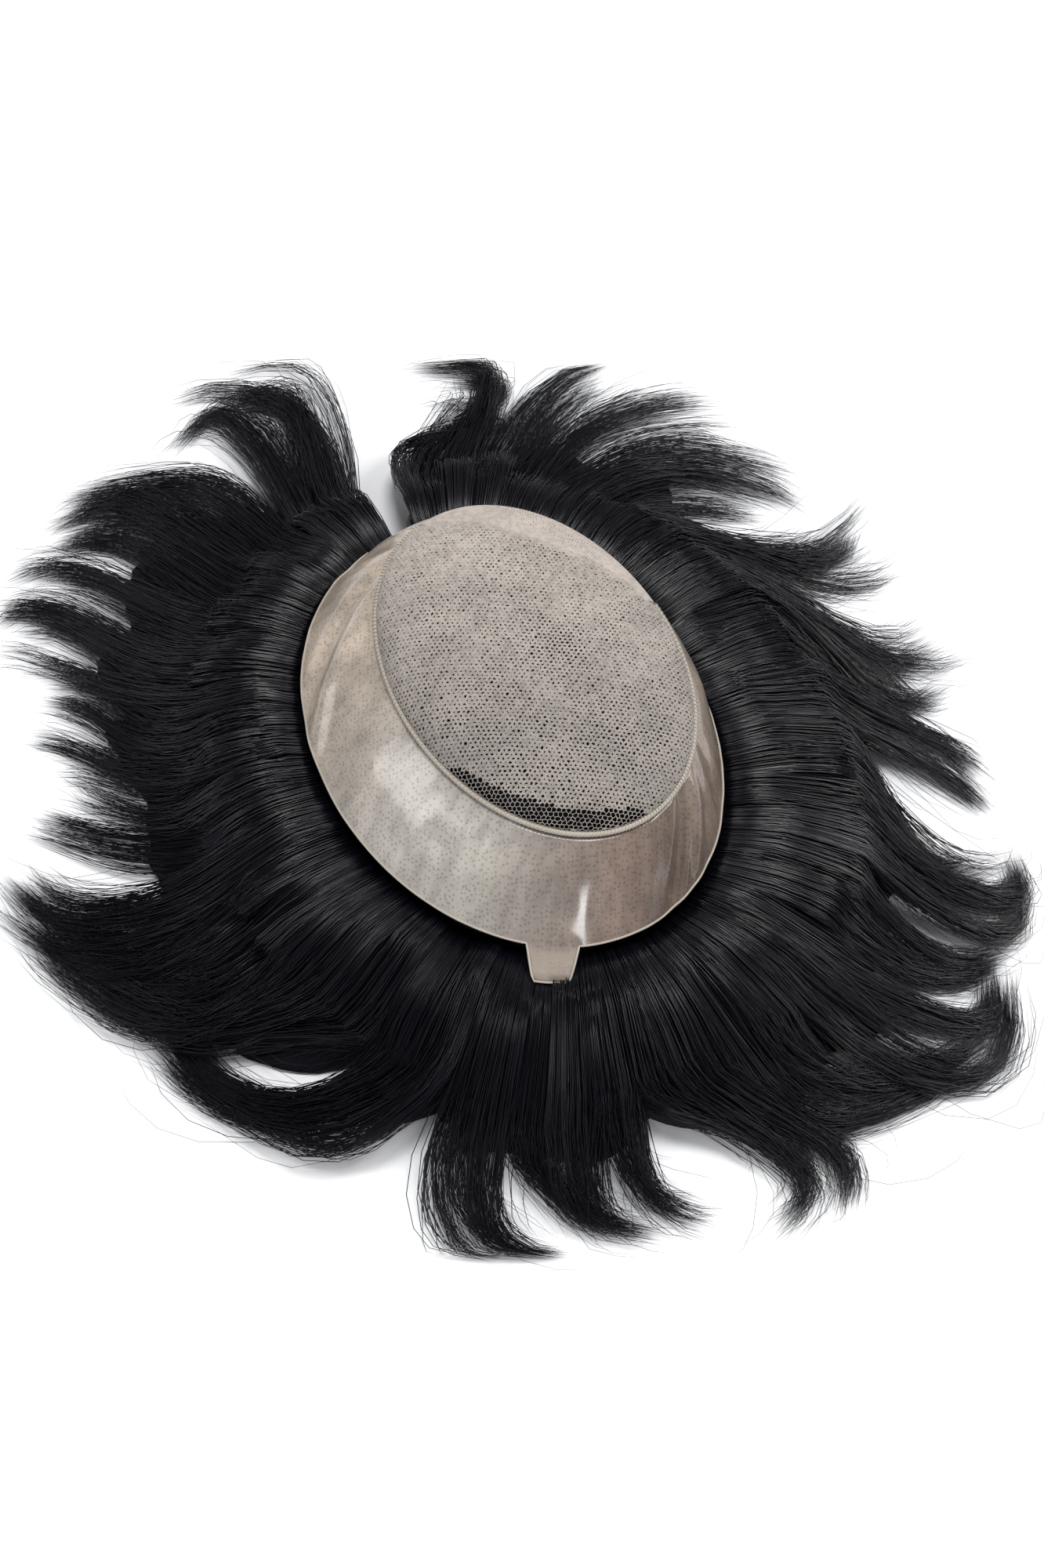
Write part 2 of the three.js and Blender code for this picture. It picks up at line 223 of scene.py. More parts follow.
# %% The table's finish
white = Finish("table_white", {"Roughness": 0.6, "Specular IOR Level": 0.2})
place = white.node("ShaderNodeTexCoord", out=3)
tint = white.between(white.noise(place, 3.0), (0.93, 0.935, 0.95, 1), (0.96, 0.96, 0.97, 1))
white.shade({"Base Color": tint})
table.data.materials.append(white.material)
print("first finish:", white.material.name)

# %% [markdown]
# ## The cap's curves
#
# Two turned ovals give the whole cap: the rim of the skirt and the seam round the crown. The crown bulges up
# from the seam and the skirt is ruled from the seam down to the rim. The same sizes drew the CAD solids, so
# what is made here lies where they do. All these functions work on arrays, in millimetres.

# %% Ovals of the cap
SHIFT = np.array([5.216, -20.038])       # from the cap's drawing to the frame
CAP_TURN = math.radians(25)
RIM = {"middle": np.array([-1.5, 16.0]) + SHIFT, "across": 79, "along": 110, "z": 28}
SEAM = {"middle": np.array([8.0, 24.0]) + SHIFT, "across": 57, "along": 86, "z": 57}


def turned(across, along):
    cos, sin = math.cos(CAP_TURN), math.sin(CAP_TURN)
    return np.stack([across * cos - along * sin, across * sin + along * cos], -1)


def on_oval(oval, angle):
    turn = np.radians(angle)
    return turned(oval["across"] * np.cos(turn), oval["along"] * np.sin(turn)) + oval["middle"]


def outward(angle):
    turn = np.radians(angle)
    way = turned(np.cos(turn) / RIM["across"], np.sin(turn) / RIM["along"])
    return way / np.linalg.norm(way, axis=-1, keepdims=True)


def raised(flat, z):
    return np.concatenate([flat, np.broadcast_to(z, flat.shape[:-1])[..., None]], -1)


def beyond_rim(angle, reach, z):
    return raised(on_oval(RIM, angle) + outward(angle) * np.asarray(reach)[..., None], z)


def hump(angle, at, half):
    """1 at an angle, falling smoothly to 0 a half width to either side."""
    away = np.abs((angle - at + 540) % 360 - 180) / half
    return np.where(away < 1, np.cos(np.minimum(away, 1) * math.pi / 2) ** 2, 0)


print("rim from", on_oval(RIM, np.array(180.0)).round(1), "to", on_oval(RIM, np.array(0.0)).round(1))

# %% Crown and skirt
CROWN_EDGE_Z = 58.4
CROWN_RISE = 15
SKIRT_BOW = 2.5
FRONT_FROM, FRONT_TO = 3, 103            # angles between which the fine lace reaches
FRONT_LEAST, FRONT_MORE = 0.06, 0.24     # how far in it reaches, as shares of the way to the apex


def crown_height(share):
    return CROWN_EDGE_Z + CROWN_RISE * np.maximum(1 - share ** 3, 0) ** 0.55


def crown_point(angle, share):
    share = np.asarray(share)
    flat = SEAM["middle"] + (on_oval(SEAM, angle) - SEAM["middle"]) * share[..., None]
    return raised(flat, crown_height(share))


def skirt_frame(angle, down):
    """Points some share of the way down the skirt, and the way that the film faces there."""
    down = np.asarray(down)[..., None]
    top = raised(on_oval(SEAM, angle), SEAM["z"])
    fall = raised(on_oval(RIM, angle), RIM["z"]) - top
    level = np.linalg.norm(fall[..., :2], axis=-1, keepdims=True)
    faces = np.concatenate([-fall[..., 2:] / level * fall[..., :2], level], -1)
    faces /= np.linalg.norm(faces, axis=-1, keepdims=True)
    return top + fall * down + faces * SKIRT_BOW * np.sin(math.pi * down), faces


def front_edge(angle):
    along = np.clip((angle - FRONT_FROM) / (FRONT_TO - FRONT_FROM), 0, 1)
    return 1 - (FRONT_LEAST + FRONT_MORE * np.sin(math.pi * along))


print("apex at", crown_point(np.array(0.0), 0.0).round(1))

# %% [markdown]
# ## Cloth from a grid
#
# Film, bead, welt and the under layer of hair are all bent sheets. Each starts as a flat grid whose two
# directions run from 0 to 1, and every point is then moved to its place. Points that land on each other are
# merged, which closes tubes and tapers tabs. The grid's own directions are kept as a UV map, so that a
# pattern can follow the cloth.

# %% Bent sheets
MAP = "OFBake"


def map_of(bm):
    return bm.loops.layers.uv.get(MAP) or bm.loops.layers.uv.new(MAP)


def bent_grid(bm, columns, rows, bend, corner=(0.0, 0.0), span=(1.0, 1.0)):
    """A grid of columns by rows, moved by bend(u, v), with its map in a corner of the unit square."""
    layer = map_of(bm)
    made = bmesh.ops.create_grid(bm, x_segments=columns, y_segments=rows, size=0.5, calc_uvs=False)["verts"]
    flat = np.array([v.co for v in made])[:, :2] + 0.5
    for face in {face for v in made for face in v.link_faces}:
        for loop in face.loops:
            u, v = loop.vert.co.x + 0.5, loop.vert.co.y + 0.5
            loop[layer].uv = (corner[0] + u * span[0], corner[1] + v * span[1])
    for vert, point in zip(made, bend(flat[:, 0], flat[:, 1])):
        vert.co = point
    bmesh.ops.remove_doubles(bm, verts=made, dist=0.01)


print("sheets carry the map", MAP)

# %% [markdown]
# A finished mesh becomes a piece of the object: it rides on a body, gets a material slot, and the CAD nodes
# that it stands for are hidden. Every piece takes these three steps, so one function does them.

# %% Pieces
def add_mesh(name, mesh, finish, nodes):
    """Makes a mesh in metres a piece of the object, which stands for some CAD nodes."""
    mesh.materials.append(finish.material)
    piece = bpy.data.objects.new(name, mesh)
    scene.collection.objects.link(piece)
    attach(piece, "root")
    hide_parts(*nodes)
    mesh.calc_loop_triangles()
    print(name, "has", len(mesh.loop_triangles), "triangles")
    return piece


def add_piece(name, bm, finish, nodes, smooth=True):
    """The same for a bmesh in millimetres."""
    bmesh.ops.scale(bm, vec=(MM, MM, MM), verts=bm.verts)
    for face in bm.faces:
        face.smooth = smooth
    mesh = bpy.data.meshes.new(name)
    bm.to_mesh(mesh)
    bm.free()
    return add_mesh(name, mesh, finish, nodes)


print(len(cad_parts), "CAD nodes are to be replaced by pieces")

# %% [markdown]
# ## The net of the crown
#
# Real cap lace is a knitted net of small six-sided holes. A picture of a net on a smooth dome would show no
# holes from the side, so the threads are made. A grid of triangles is sheared until its triangles are even,
# and every third point is dissolved: six triangles become one hexagon. Each hexagon is inset, its middle is
# deleted, and what stays is a net, which then gets a thickness.

# %% A flat field of hexagons
UNEVEN = 0.085                           # how far a corner strays, as a share of the pitch
rng = np.random.default_rng(11)


def hexagons(width, length, pitch):
    """A flat bmesh of slightly uneven hexagons, pitch apart from middle to middle, centred on the origin."""
    side = pitch / math.sqrt(3)
    rows = math.ceil(length / (side * math.sqrt(3) / 2)) + 2
    columns = math.ceil(width / side) + rows // 2 + 4
    bm = bmesh.new()
    bmesh.ops.create_grid(bm, x_segments=columns, y_segments=rows, size=0.5, calc_uvs=False)
    hubs = []
    for vert in bm.verts:
        i = round((vert.co.x + 0.5) * columns)
        j = round((vert.co.y + 0.5) * rows)
        vert.co.x = (i - columns / 2 + (j - rows / 2) / 2) * side
        vert.co.y = (j - rows / 2) * side * math.sqrt(3) / 2
        if (i - j) % 3 == 0:
            hubs.append(vert)
    far_x, far_y = width / 2 + 3 * side, length / 2 + 3 * side
    outside = [v for v in bm.verts if abs(v.co.x) > far_x or abs(v.co.y) > far_y]
    gone = set(outside)
    hubs = [v for v in hubs if v not in gone]
    bmesh.ops.delete(bm, geom=outside, context="VERTS")
    bmesh.ops.triangulate(bm, faces=bm.faces, quad_method="SHORT_EDGE")
    bmesh.ops.dissolve_verts(bm, verts=[v for v in hubs if not v.is_boundary])
    bmesh.ops.delete(bm, geom=[f for f in bm.faces if len(f.verts) != 6], context="FACES")
    for vert in bm.verts:
        vert.co += Vector((*rng.normal(0, UNEVEN * pitch, 2), 0))
    return bm


sample = hexagons(20, 20, 2.0)
print("nets are made from", len(sample.faces), "hexagons on 20 by 20 mm")
sample.free()

# %% Threads from hexagons
SLIVER = 0.1                             # cells smaller than this share of a whole one are deleted
LEAST_CELL, LEAST_SIDE = 0.45, 0.2       # shares of a whole one's area and side from which a cell gets a hole
WIDEST_THREAD = 1.6                      # the most that a thread may take, times area over outline
MAP_ROOM = 1.08                          # a margin round the flat map


def knit(bm, thread_of, pitch, levels, thickness):
    """Opens a hole in each whole hexagon, leaving threads, and thickens what stays."""
    side = pitch / math.sqrt(3)
    whole = 1.5 * math.sqrt(3) * side * side
    bmesh.ops.delete(bm, geom=[f for f in bm.faces if f.calc_area() < SLIVER * whole], context="FACES")
    faces = [
        f for f in bm.faces
        if len(f.verts) == 6 and f.calc_area() > LEAST_CELL * whole
        and min(e.calc_length() for e in f.edges) > LEAST_SIDE * side
    ]
    widest = [WIDEST_THREAD * f.calc_area() / f.calc_perimeter() for f in faces]
    wanted = np.array([min(thread_of(f), most) for f, most in zip(faces, widest)])
    steps = np.linspace(wanted.min(), wanted.max(), levels)
    nearest = np.abs(wanted[:, None] - steps).argmin(1)
    for k, thread in enumerate(steps):
        chosen = [f for f, n in zip(faces, nearest) if n == k]
        if chosen:
            inset = thread / math.cos(math.pi / 6)
            bmesh.ops.inset_individual(bm, faces=chosen, thickness=inset, use_even_offset=False)
    bmesh.ops.delete(bm, geom=faces, context="FACES")
    bm.normal_update()
    faces_up = bm.verts.layers.float_vector.new("faces_up")
    for vert in bm.verts:
        vert[faces_up] = vert.normal
    top = set(bm.verts)
    bmesh.ops.extrude_face_region(bm, geom=bm.faces, use_keep_orig=True)
    for vert in bm.verts:
        if vert not in top:
            vert.co -= vert[faces_up] * thickness
    bmesh.ops.recalc_face_normals(bm, faces=bm.faces)
    return top


def map_net(bm, sheet, top, width, length, offset):
    """Lays the net's map out flat, the lower side a little beside the upper one."""
    layer = map_of(bm)
    for face in bm.faces:
        for loop in face.loops:
            x, y, _ = loop.vert[sheet]
            beside = 0.0 if loop.vert in top else offset
            u, v = (x + beside) / (width * MAP_ROOM), (y + beside) / (length * MAP_ROOM)
            loop[layer].uv = (0.5 + u, 0.5 + v)


print("a cell gets a hole from", LEAST_CELL, "of a whole hexagon's area")

# %% [markdown]
# The flat field is laid over the dome so that its holes keep their size: the way out from the apex is
# measured along the surface. A plain projection from above would stretch them on the steep edge.

# %% From the flat field to the dome
shares = np.linspace(0, 1, 2001)
mean_radius = (SEAM["across"] + SEAM["along"]) / 2
steps = np.hypot(np.diff(shares) * mean_radius, np.diff(crown_height(shares)))
over_dome = np.concatenate([[0], np.cumsum(steps)])
SPREAD = over_dome[-1] / mean_radius     # how much longer the way over the dome is than the way across


def on_crown(x, y):
    """Angle and share on the crown of a point of the flat field."""
    u, v = x / (SEAM["across"] * SPREAD), y / (SEAM["along"] * SPREAD)
    share = np.interp(np.hypot(u, v) * over_dome[-1], over_dome, shares)
    return np.degrees(np.arctan2(v, u)) % 360, share


def crown_limit(angle):
    inside = (angle >= FRONT_FROM) & (angle <= FRONT_TO)
    return np.where(inside, front_edge(angle) + 0.012, 0.998)


crown_width, crown_length = 2 * SEAM["across"] * SPREAD, 2 * SEAM["along"] * SPREAD
print("the flat crown is", round(crown_width), "by", round(crown_length), "mm")

# %% [markdown]
# How wide the threads are follows the real piece. The net is almost closed at the far side, more open near
# the middle, and wide open on the steep near shoulder, where the dark hair shows as a crescent.

# %% How open the crown's net is
CRESCENT = {"at": 241, "half": 37, "depth": 0.085, "open": 0.74}
PATCH = {"x": 22, "y": 2, "across": 26, "along": 20, "open": 0.12}


def crescent(angle):
    """How far in from the crown's edge the net is wide open, as a share of the way to the apex."""
    return CRESCENT["depth"] * max(0.0, 1 - ((angle - CRESCENT["at"]) / CRESCENT["half"]) ** 2) ** 0.5


def crown_opening(point, angle, share):
    """Share of a hexagon's area that is hole."""
    near = min(max(0.5 - (point[1] - SEAM["middle"][1]) / 170, 0.0), 1.0)
    patch = math.hypot((point[0] - PATCH["x"]) / PATCH["across"], (point[1] - PATCH["y"]) / PATCH["along"])
    opening = 0.06 + 0.17 * near ** 1.2 + PATCH["open"] * max(0.0, 1 - patch)
    if share > 1 - crescent(angle):
        opening = CRESCENT["open"]
    return opening + 0.08 * noise.noise(Vector(point) * 0.09) + rng.normal(0, 0.045)


print("the crescent is", crescent(CRESCENT["at"]), "of the way to the apex deep")

# %% The crown's net
CROWN_PITCH = 1.92
CROWN_THREAD = 0.3
CROWN_WIDTHS = 18                        # how many thread widths the net is knitted with
net = hexagons(crown_width, crown_length, CROWN_PITCH)
sheet = net.verts.layers.float_vector.new("sheet")
middles = np.array([f.calc_center_median()[:2] for f in net.faces])
angle, share = on_crown(middles[:, 0], middles[:, 1])
radius = np.hypot(middles[:, 0] / crown_width * 2, middles[:, 1] / crown_length * 2)
beyond = [f for f, a, s, r in zip(net.faces, angle, share, radius) if r > 1 or s > crown_limit(a)]
bmesh.ops.delete(net, geom=beyond, context="FACES")
flat = np.array([v.co[:2] for v in net.verts])
angle, share = on_crown(flat[:, 0], flat[:, 1])
share = np.minimum(share, crown_limit(angle))
for vert, point, laid in zip(net.verts, crown_point(angle, share), flat):
    vert[sheet] = (*laid, 0)
    vert.co = point
crown_area = sum(f.calc_area() for f in net.faces)


def crown_thread(face):
    point = face.calc_center_median()
    x, y, _ = sum((v[sheet] for v in face.verts), Vector()) / len(face.verts)
    angle, share = on_crown(x, y)
    opening = crown_opening(point, float(angle), float(share))
    return CROWN_PITCH / 2 * (1 - math.sqrt(min(max(opening, 0.04), 0.85)))


top = knit(net, crown_thread, CROWN_PITCH, CROWN_WIDTHS, CROWN_THREAD)
map_net(net, sheet, top, crown_width, crown_length, CROWN_THREAD)
print("crown net:", round(crown_area), "mm2 of cloth")

# %% [markdown]
# The thread is a pale grey beige, a little lighter and darker from place to place, and dull. It could be one
# colour with a bump, but the real net is mottled, so two slow noises mix a light and a dark tone, and a fine
# one gives the twist of the yarn. Towards the near side it darkens, because there the hair shows through.

# %% The net's finish
def lace_finish(name, light, dark, gloom):
    lace = Finish(name, {"Roughness": 0.75, "Specular IOR Level": 0.3})
    place = lace.node("ShaderNodeTexCoord", out=3)
    blotch = lace.band(lace.noise(place, 60.0, 3.0), 0.35, 0.65)
    knots = lace.band(lace.noise(place, 420.0, 2.0), 0.4, 0.62)
    yarn = lace.noise(place, 1800.0, 1.0)
    colour = lace.between(blotch * 0.35 + knots * 0.45 + yarn * 0.2, light, dark)
    away = lace.node("ShaderNodeSeparateXYZ", {}, {0: place}, 1)
    colour = lace.between(lace.band(away, 0.07, -0.06) * gloom, colour, (0.09, 0.083, 0.08, 1))
    height = yarn + knots * 0.6
    bump = lace.node("ShaderNodeBump", {}, {"Strength": 0.5, "Distance": 0.0003, "Height": height})
    lace.shade({"Base Color": colour, "Normal": bump})
    return lace


crown_lace = lace_finish("crown_lace", (0.46, 0.41, 0.365, 1), (0.27, 0.24, 0.216, 1), 0.36)
crown_piece = add_piece("crown_net", net, crown_lace, ["lace_crown"], smooth=False)

# %% [markdown]
# ## The fine lace of the front
#
# Along the far edge the crown goes over into a finer and paler lace, which also hangs down behind the dome as
# far as the rim. It is knitted in the same way, with a smaller mesh and smaller holes. Its flat field is as
# long as the edge and as wide as the way over the shoulder and down the wall.

# %% The front's surface
SHOULDER = 0.42                          # share of the way down that lies on the crown
FRONT_COLUMNS = np.linspace(FRONT_FROM + 0.5, FRONT_TO - 0.5, 101)
FRONT_ROWS = np.linspace(0, 1, 61)


def front_surface(angle, down):
    """From the crown's edge, at 0, over the shoulder and down to the rim, at 1."""
    on_top = np.clip(down / SHOULDER, 0, 1)
    edge = front_edge(angle) - 0.03
    over = crown_point(angle, edge + (1 - edge) * (1 - (1 - on_top) ** 1.6) * 0.995) - [0, 0, 0.35]
    wall, faces = skirt_frame(angle, 0.06 + 0.94 * np.clip((down - SHOULDER) / (1 - SHOULDER), 0, 1))
    return np.where((down <= SHOULDER)[..., None], over, wall - faces * 0.5)


def between_points(grid, column, row):
    """Places inside a grid of points, counted in columns and rows."""
    i = np.minimum(column.astype(int), grid.shape[0] - 2)
    j = np.minimum(row.astype(int), grid.shape[1] - 2)
    a, b = (column - i)[:, None], (row - j)[:, None]
    here = grid[i, j] * (1 - b) + grid[i, j + 1] * b
    after = grid[i + 1, j] * (1 - b) + grid[i + 1, j + 1] * b
    return here * (1 - a) + after * a


columns, rows = np.meshgrid(FRONT_COLUMNS, FRONT_ROWS, indexing="ij")
grid = front_surface(columns, rows)
front_length = np.linalg.norm(np.diff(grid[:, 40], axis=0), axis=-1).sum()
drops = np.concatenate([[0], np.cumsum(np.linalg.norm(np.diff(grid[50], axis=0), axis=-1))])
front_width = drops[-1]
print("the flat front is", round(front_length), "by", round(front_width), "mm")

# %% The front's net
FRONT_PITCH = 1.8
FRONT_WIDTHS = 8
FRONT_OPEN, WALL_OPEN = 0.19, 0.10       # share of hole on the shoulder, and how much more on the wall
lace = hexagons(front_length, front_width, FRONT_PITCH)
sheet = lace.verts.layers.float_vector.new("sheet")
off = [
    f for f in lace.faces
    if abs(f.calc_center_median().x) > front_length / 2 or abs(f.calc_center_median().y) > front_width / 2
]
bmesh.ops.delete(lace, geom=off, context="FACES")
flat = np.array([v.co[:2] for v in lace.verts])
column = np.clip(flat[:, 0] / front_length + 0.5, 0, 1) * (len(FRONT_COLUMNS) - 1)
row = np.interp(np.clip(flat[:, 1] + front_width / 2, 0, front_width), drops, np.arange(len(FRONT_ROWS)))
for vert, point, laid in zip(lace.verts, between_points(grid, column, row), flat):
    vert[sheet] = (*laid, 0)
    vert.co = point
bmesh.ops.remove_doubles(lace, verts=lace.verts, dist=0.01)
front_area = sum(f.calc_area() for f in lace.faces)


def front_thread(face):
    point = face.calc_center_median()
    opening = FRONT_OPEN + 0.06 * noise.noise(Vector(point) * 0.1) + rng.normal(0, 0.04)
    opening += WALL_OPEN * (point.z < SEAM["z"])
    return FRONT_PITCH / 2 * (1 - math.sqrt(max(opening, 0.03)))


top = knit(lace, front_thread, FRONT_PITCH, FRONT_WIDTHS, CROWN_THREAD)
map_net(lace, sheet, top, front_length, front_width, CROWN_THREAD)
front_lace = lace_finish("front_lace", (0.52, 0.46, 0.41, 1), (0.36, 0.315, 0.28, 1), 0.0)
front_piece = add_piece("front_net", lace, front_lace, ["lace_front"], smooth=False)
print("front net:", round(front_area), "mm2 of cloth")

# %% [markdown]
# ## The film skirt
#
# The skirt is a clear film that hangs from the seam to the rim. It has a few folds, small wrinkles, and one
# narrow tab on the near edge. A grid of columns round the cap and rows down it is enough: the last rows move
# out only where the tab is, and merge everywhere else. A stretched film has no slack, so its folds are moves
# of points and not a cloth simulation.

# %% Folds of the film
FOLDS = [
    # angle at the seam, turn on the way to the rim, half width, lift
    (110, 0, 7, -2),
    (123, 36, 8, -3),
    (140, 28, 8, 1.8),
    (172, 0, 14, -1.5),
    (228, 6, 9, 0.6),
    (254, 2, 8, 1.1),
    (279, -2, 6, 1.4),
    (297, -12, 5, -4.5),
    (307, -10, 5, 2.5),
    (318, 0, 6, -2),
]
FLUTES = [
    # how close they follow round the cap, and down it, place in the noise, height
    (0.1, 0.7, 3.3, 0.9),
    (0.27, 1.6, 7.1, 0.35),
    (0.05, 4.0, 1.7, 0.5),
]


def lift_of_folds(angle, down):
    return sum(lift * hump(angle, at + turn * down, half) for at, turn, half, lift in FOLDS)


def flutes(angle, down):
    """Soft folds that run down the film, with fewer and smaller ones across it."""
    rough = [
        sum(noise.noise(Vector((a * close, d * below, at))) * height for close, below, at, height in FLUTES)
        for a, d in zip(angle, down)
    ]
    return np.array(rough) * np.sin(math.pi * np.minimum(down, 0.88)) * (0.4 + 0.8 * down)


print(len(FOLDS), "folds, the deepest", min(row[3] for row in FOLDS), "mm")

# %% The film
FILM = 0.4
FILM_COLUMNS, FILM_ROWS = 300, 24
TAB = {"at": 248.5, "root": 6.8, "tip": 3.9, "length": 14, "drop": 3.5, "soft": 11, "above": 4, "rounds": 6}
SKIRT_FROM, SKIRT_TO = FRONT_TO - 1.5, FRONT_FROM + 361.5
SKIRT_TOP = 0.01
HANG = 0.84                              # share of the rows above the rim; the rest make the tab


def skirt_surface(angle, v):
    down = SKIRT_TOP + (1 - SKIRT_TOP) * np.minimum(v / HANG, 1)
    point, faces = skirt_frame(angle, down)
    folded = lift_of_folds(angle, down) * (0.25 + 0.75 * np.sin(math.pi * down ** 1.2))
    flare = (0.4 + 0.6 * hump(angle, 254, 40)) * np.sin(2 * math.pi * down)
    point = point + faces * (folded + flare + flutes(angle, down))[:, None]
    tab = np.clip((TAB["root"] - np.abs(angle - TAB["at"])) / (TAB["root"] - TAB["tip"]), 0, 1)
    out = np.minimum(np.maximum(v - HANG, 0) / (1 - HANG), tab)
    return point + raised(outward(angle) * (out * TAB["length"])[:, None], -out * TAB["drop"])


def skirt_angle(u):
    return SKIRT_FROM + u * (SKIRT_TO - SKIRT_FROM)


film = bmesh.new()
bent_grid(film, FILM_COLUMNS, FILM_ROWS, lambda u, v: skirt_surface(skirt_angle(u), v), span=(1.0, 0.9))
tab_foot = on_oval(RIM, TAB["at"])
tab_root = [
    v for v in film.verts
    if not v.is_boundary and math.dist(v.co[:2], tab_foot) < TAB["soft"] and v.co.z < RIM["z"] + TAB["above"]
]
for _ in range(TAB["rounds"]):
    bmesh.ops.smooth_vert(film, verts=tab_root, factor=0.5, use_axis_x=True, use_axis_y=True, use_axis_z=True)
bmesh.ops.recalc_face_normals(film, faces=film.faces)
film_area = sum(f.calc_area() for f in film.faces)
bmesh.ops.solidify(film, geom=film.faces, thickness=FILM)
print("film:", round(film_area), "mm2")

# %% [markdown]
# The cut edge of the film shows as a pale line. The sheet's own thickness could carry it, but is too thin to
# catch the light, so a thin tube is laid along the rim, round the tab too. A tube is a bent grid as well: one
# of its directions runs along a path and the other once round it.

# %% The film's bead
BEAD = 0.5
BEAD_COLUMNS, BEAD_SIDES = 400, 6


def tube(path, radius):
    """A bend for bent_grid: u runs along a path and v once round it, and the ends close to a point."""

    def bend(u, v):
        ahead = path(np.minimum(u + 0.001, 1)) - path(np.maximum(u - 0.001, 0))
        ahead /= np.linalg.norm(ahead, axis=-1, keepdims=True)
        side = np.cross(ahead, [0, 0, 1.0])
        side /= np.linalg.norm(side, axis=-1, keepdims=True)
        turn = (v * 2 * math.pi)[:, None]
        round_it = np.cos(turn) * side + np.sin(turn) * np.cross(side, ahead)
        return path(u) + round_it * np.where((u < 1e-6) | (u > 1 - 1e-6), 0, radius)[:, None]

    return bend


bead_round = tube(lambda u: skirt_surface(skirt_angle(u), np.ones(len(u))), BEAD)
bent_grid(film, BEAD_COLUMNS, BEAD_SIDES, bead_round, corner=(0.0, 0.92), span=(1.0, 0.08))
bmesh.ops.recalc_face_normals(film, faces=film.faces)
print("bead of radius", BEAD, "mm along the rim")

# %% [markdown]
# The film is glossy and lets the dark hair through here and there. It is pale at the left, partly its own
# tone and partly painted light from the left, and a warm brown at the near right, darkest in the deep fold
# there, where the fold's shade is painted in. It has milky sheens, a fine grain of tiny dots, and a pale
# edge that is partly a painted highlight. All of it follows the sheet's own map: across is the way round
# the cap and up is the way down from the seam.

# %% The film's finish
# Paler at the left partly as painted light from the left; the darkest stop, at 0.71, is painted shade in the
# deep fold.
FILM_TONE_AND_PAINTED_LIGHT = [
    # share of the way round from the far left, colour
    (0.0, (0.40, 0.325, 0.26)),
    (0.16, (0.44, 0.365, 0.295)),
    (0.26, (0.335, 0.285, 0.235)),
    (0.36, (0.39, 0.355, 0.32)),
    (0.45, (0.425, 0.40, 0.355)),
    (0.53, (0.235, 0.20, 0.175)),
    (0.62, (0.20, 0.143, 0.115)),
    (0.71, (0.115, 0.083, 0.066)),
    (0.80, (0.215, 0.165, 0.13)),
    (1.0, (0.30, 0.24, 0.185)),
]
skin = Finish("clear_film", {"Specular IOR Level": 0.3, "Coat Roughness": 0.16})
laid = skin.node("ShaderNodeUVMap", {"uv_map": MAP})
round_cap = skin.node("ShaderNodeSeparateXYZ", {}, {0: laid}, 0)
down_skirt = skin.node("ShaderNodeSeparateXYZ", {}, {0: laid}, 1)
place = skin.node("ShaderNodeTexCoord", out=3)
cloud = skin.noise(place, 38.0, 3.0, 0.6)
streaks = skin.noise(skin.node("ShaderNodeMapping", {}, {0: laid, 3: (70, 4, 1)}), 1.0, 3.0)
distance = skin.node("ShaderNodeTexVoronoi", {}, {"Vector": place, "Scale": 620.0, "Randomness": 0.6})
dots = skin.band(distance, 0.5, 0.15)
shade = (0.76 + 0.34 * skin.band(cloud, 0.35, 0.7) + 0.26 * skin.band(streaks, 0.7, 0.3)) * (1 - 0.34 * dots)
# This ramp holds painted light at the left and painted shade in the near-right fold.
round_tone_and_painted_light = skin.node("ShaderNodeValToRGB", {"stops": FILM_TONE_AND_PAINTED_LIGHT}, {0: round_cap})
colour = skin.node("ShaderNodeHueSaturation", {}, {"Color": round_tone_and_painted_light, "Value": shade})
on_tab = skin.band(down_skirt, 0.74, 0.79)
colour = skin.between(on_tab * 0.7, colour, (0.31, 0.255, 0.21, 1))
# The bead is painted pale: partly the cut edge's own colour, partly a painted highlight along it.
edge = skin.band(down_skirt, 0.905, 0.925)
colour = skin.between(edge * 0.6, colour, (0.46, 0.43, 0.37, 1))
height = skin.noise(place, 110.0, 2.0) * 0.7 + skin.noise(place, 900.0, 2.0) * 0.12 - distance * 0.1
bump = skin.node("ShaderNodeBump", {}, {"Strength": 0.5, "Distance": 0.0008, "Height": height})
skin.shade({
    "Base Color": colour,
    "Roughness": 0.3 + 0.3 * cloud,
    "Coat Weight": 1 - 0.8 * on_tab,
    "Normal": bump,
})
skirt_piece = add_piece("film_skirt", film, skin, ["skin_skirt"])

# %% [markdown]
# ## The sewn seam
#
# A pale welt runs where the film meets the net. It is a thin tube with thread wound over it: many small
# stitches, each a short bent rod, made as one joined mesh from arrays because hundreds of them are alike.

# %% The welt and its stitches
WELT = 1.15
WELT_COLUMNS, WELT_SIDES = 300, 8
WELT_LIFT = 0.8                          # how far its middle lies above the seam
STITCHES = 190
STITCH = 0.27                            # the thread's radius
STITCH_STEPS, STITCH_SIDES = 5, 3
STITCH_PROUD = 0.2                       # how far its middle stands off the welt


def seam_path(u):
    return raised(on_oval(SEAM, skirt_angle(u)), SEAM["z"] + WELT_LIFT)


def stitch(k):
    """A thread that leans over the welt, from one side to the other."""
    here, ahead = seam_path((k + np.array([0.5, 0.6])) / STITCHES)
    along = (ahead - here) / np.linalg.norm(ahead - here)
    out = raised(outward(skirt_angle((k + 0.5) / STITCHES)), 0.0)

    def path(u):
        turn = (3.4 * u - 0.7)[:, None]
        over = np.cos(turn) * out + np.sin(turn) * [0, 0, 1.0]
        return here + over * (WELT + STITCH_PROUD) + along * (u - 0.5)[:, None]

    return path


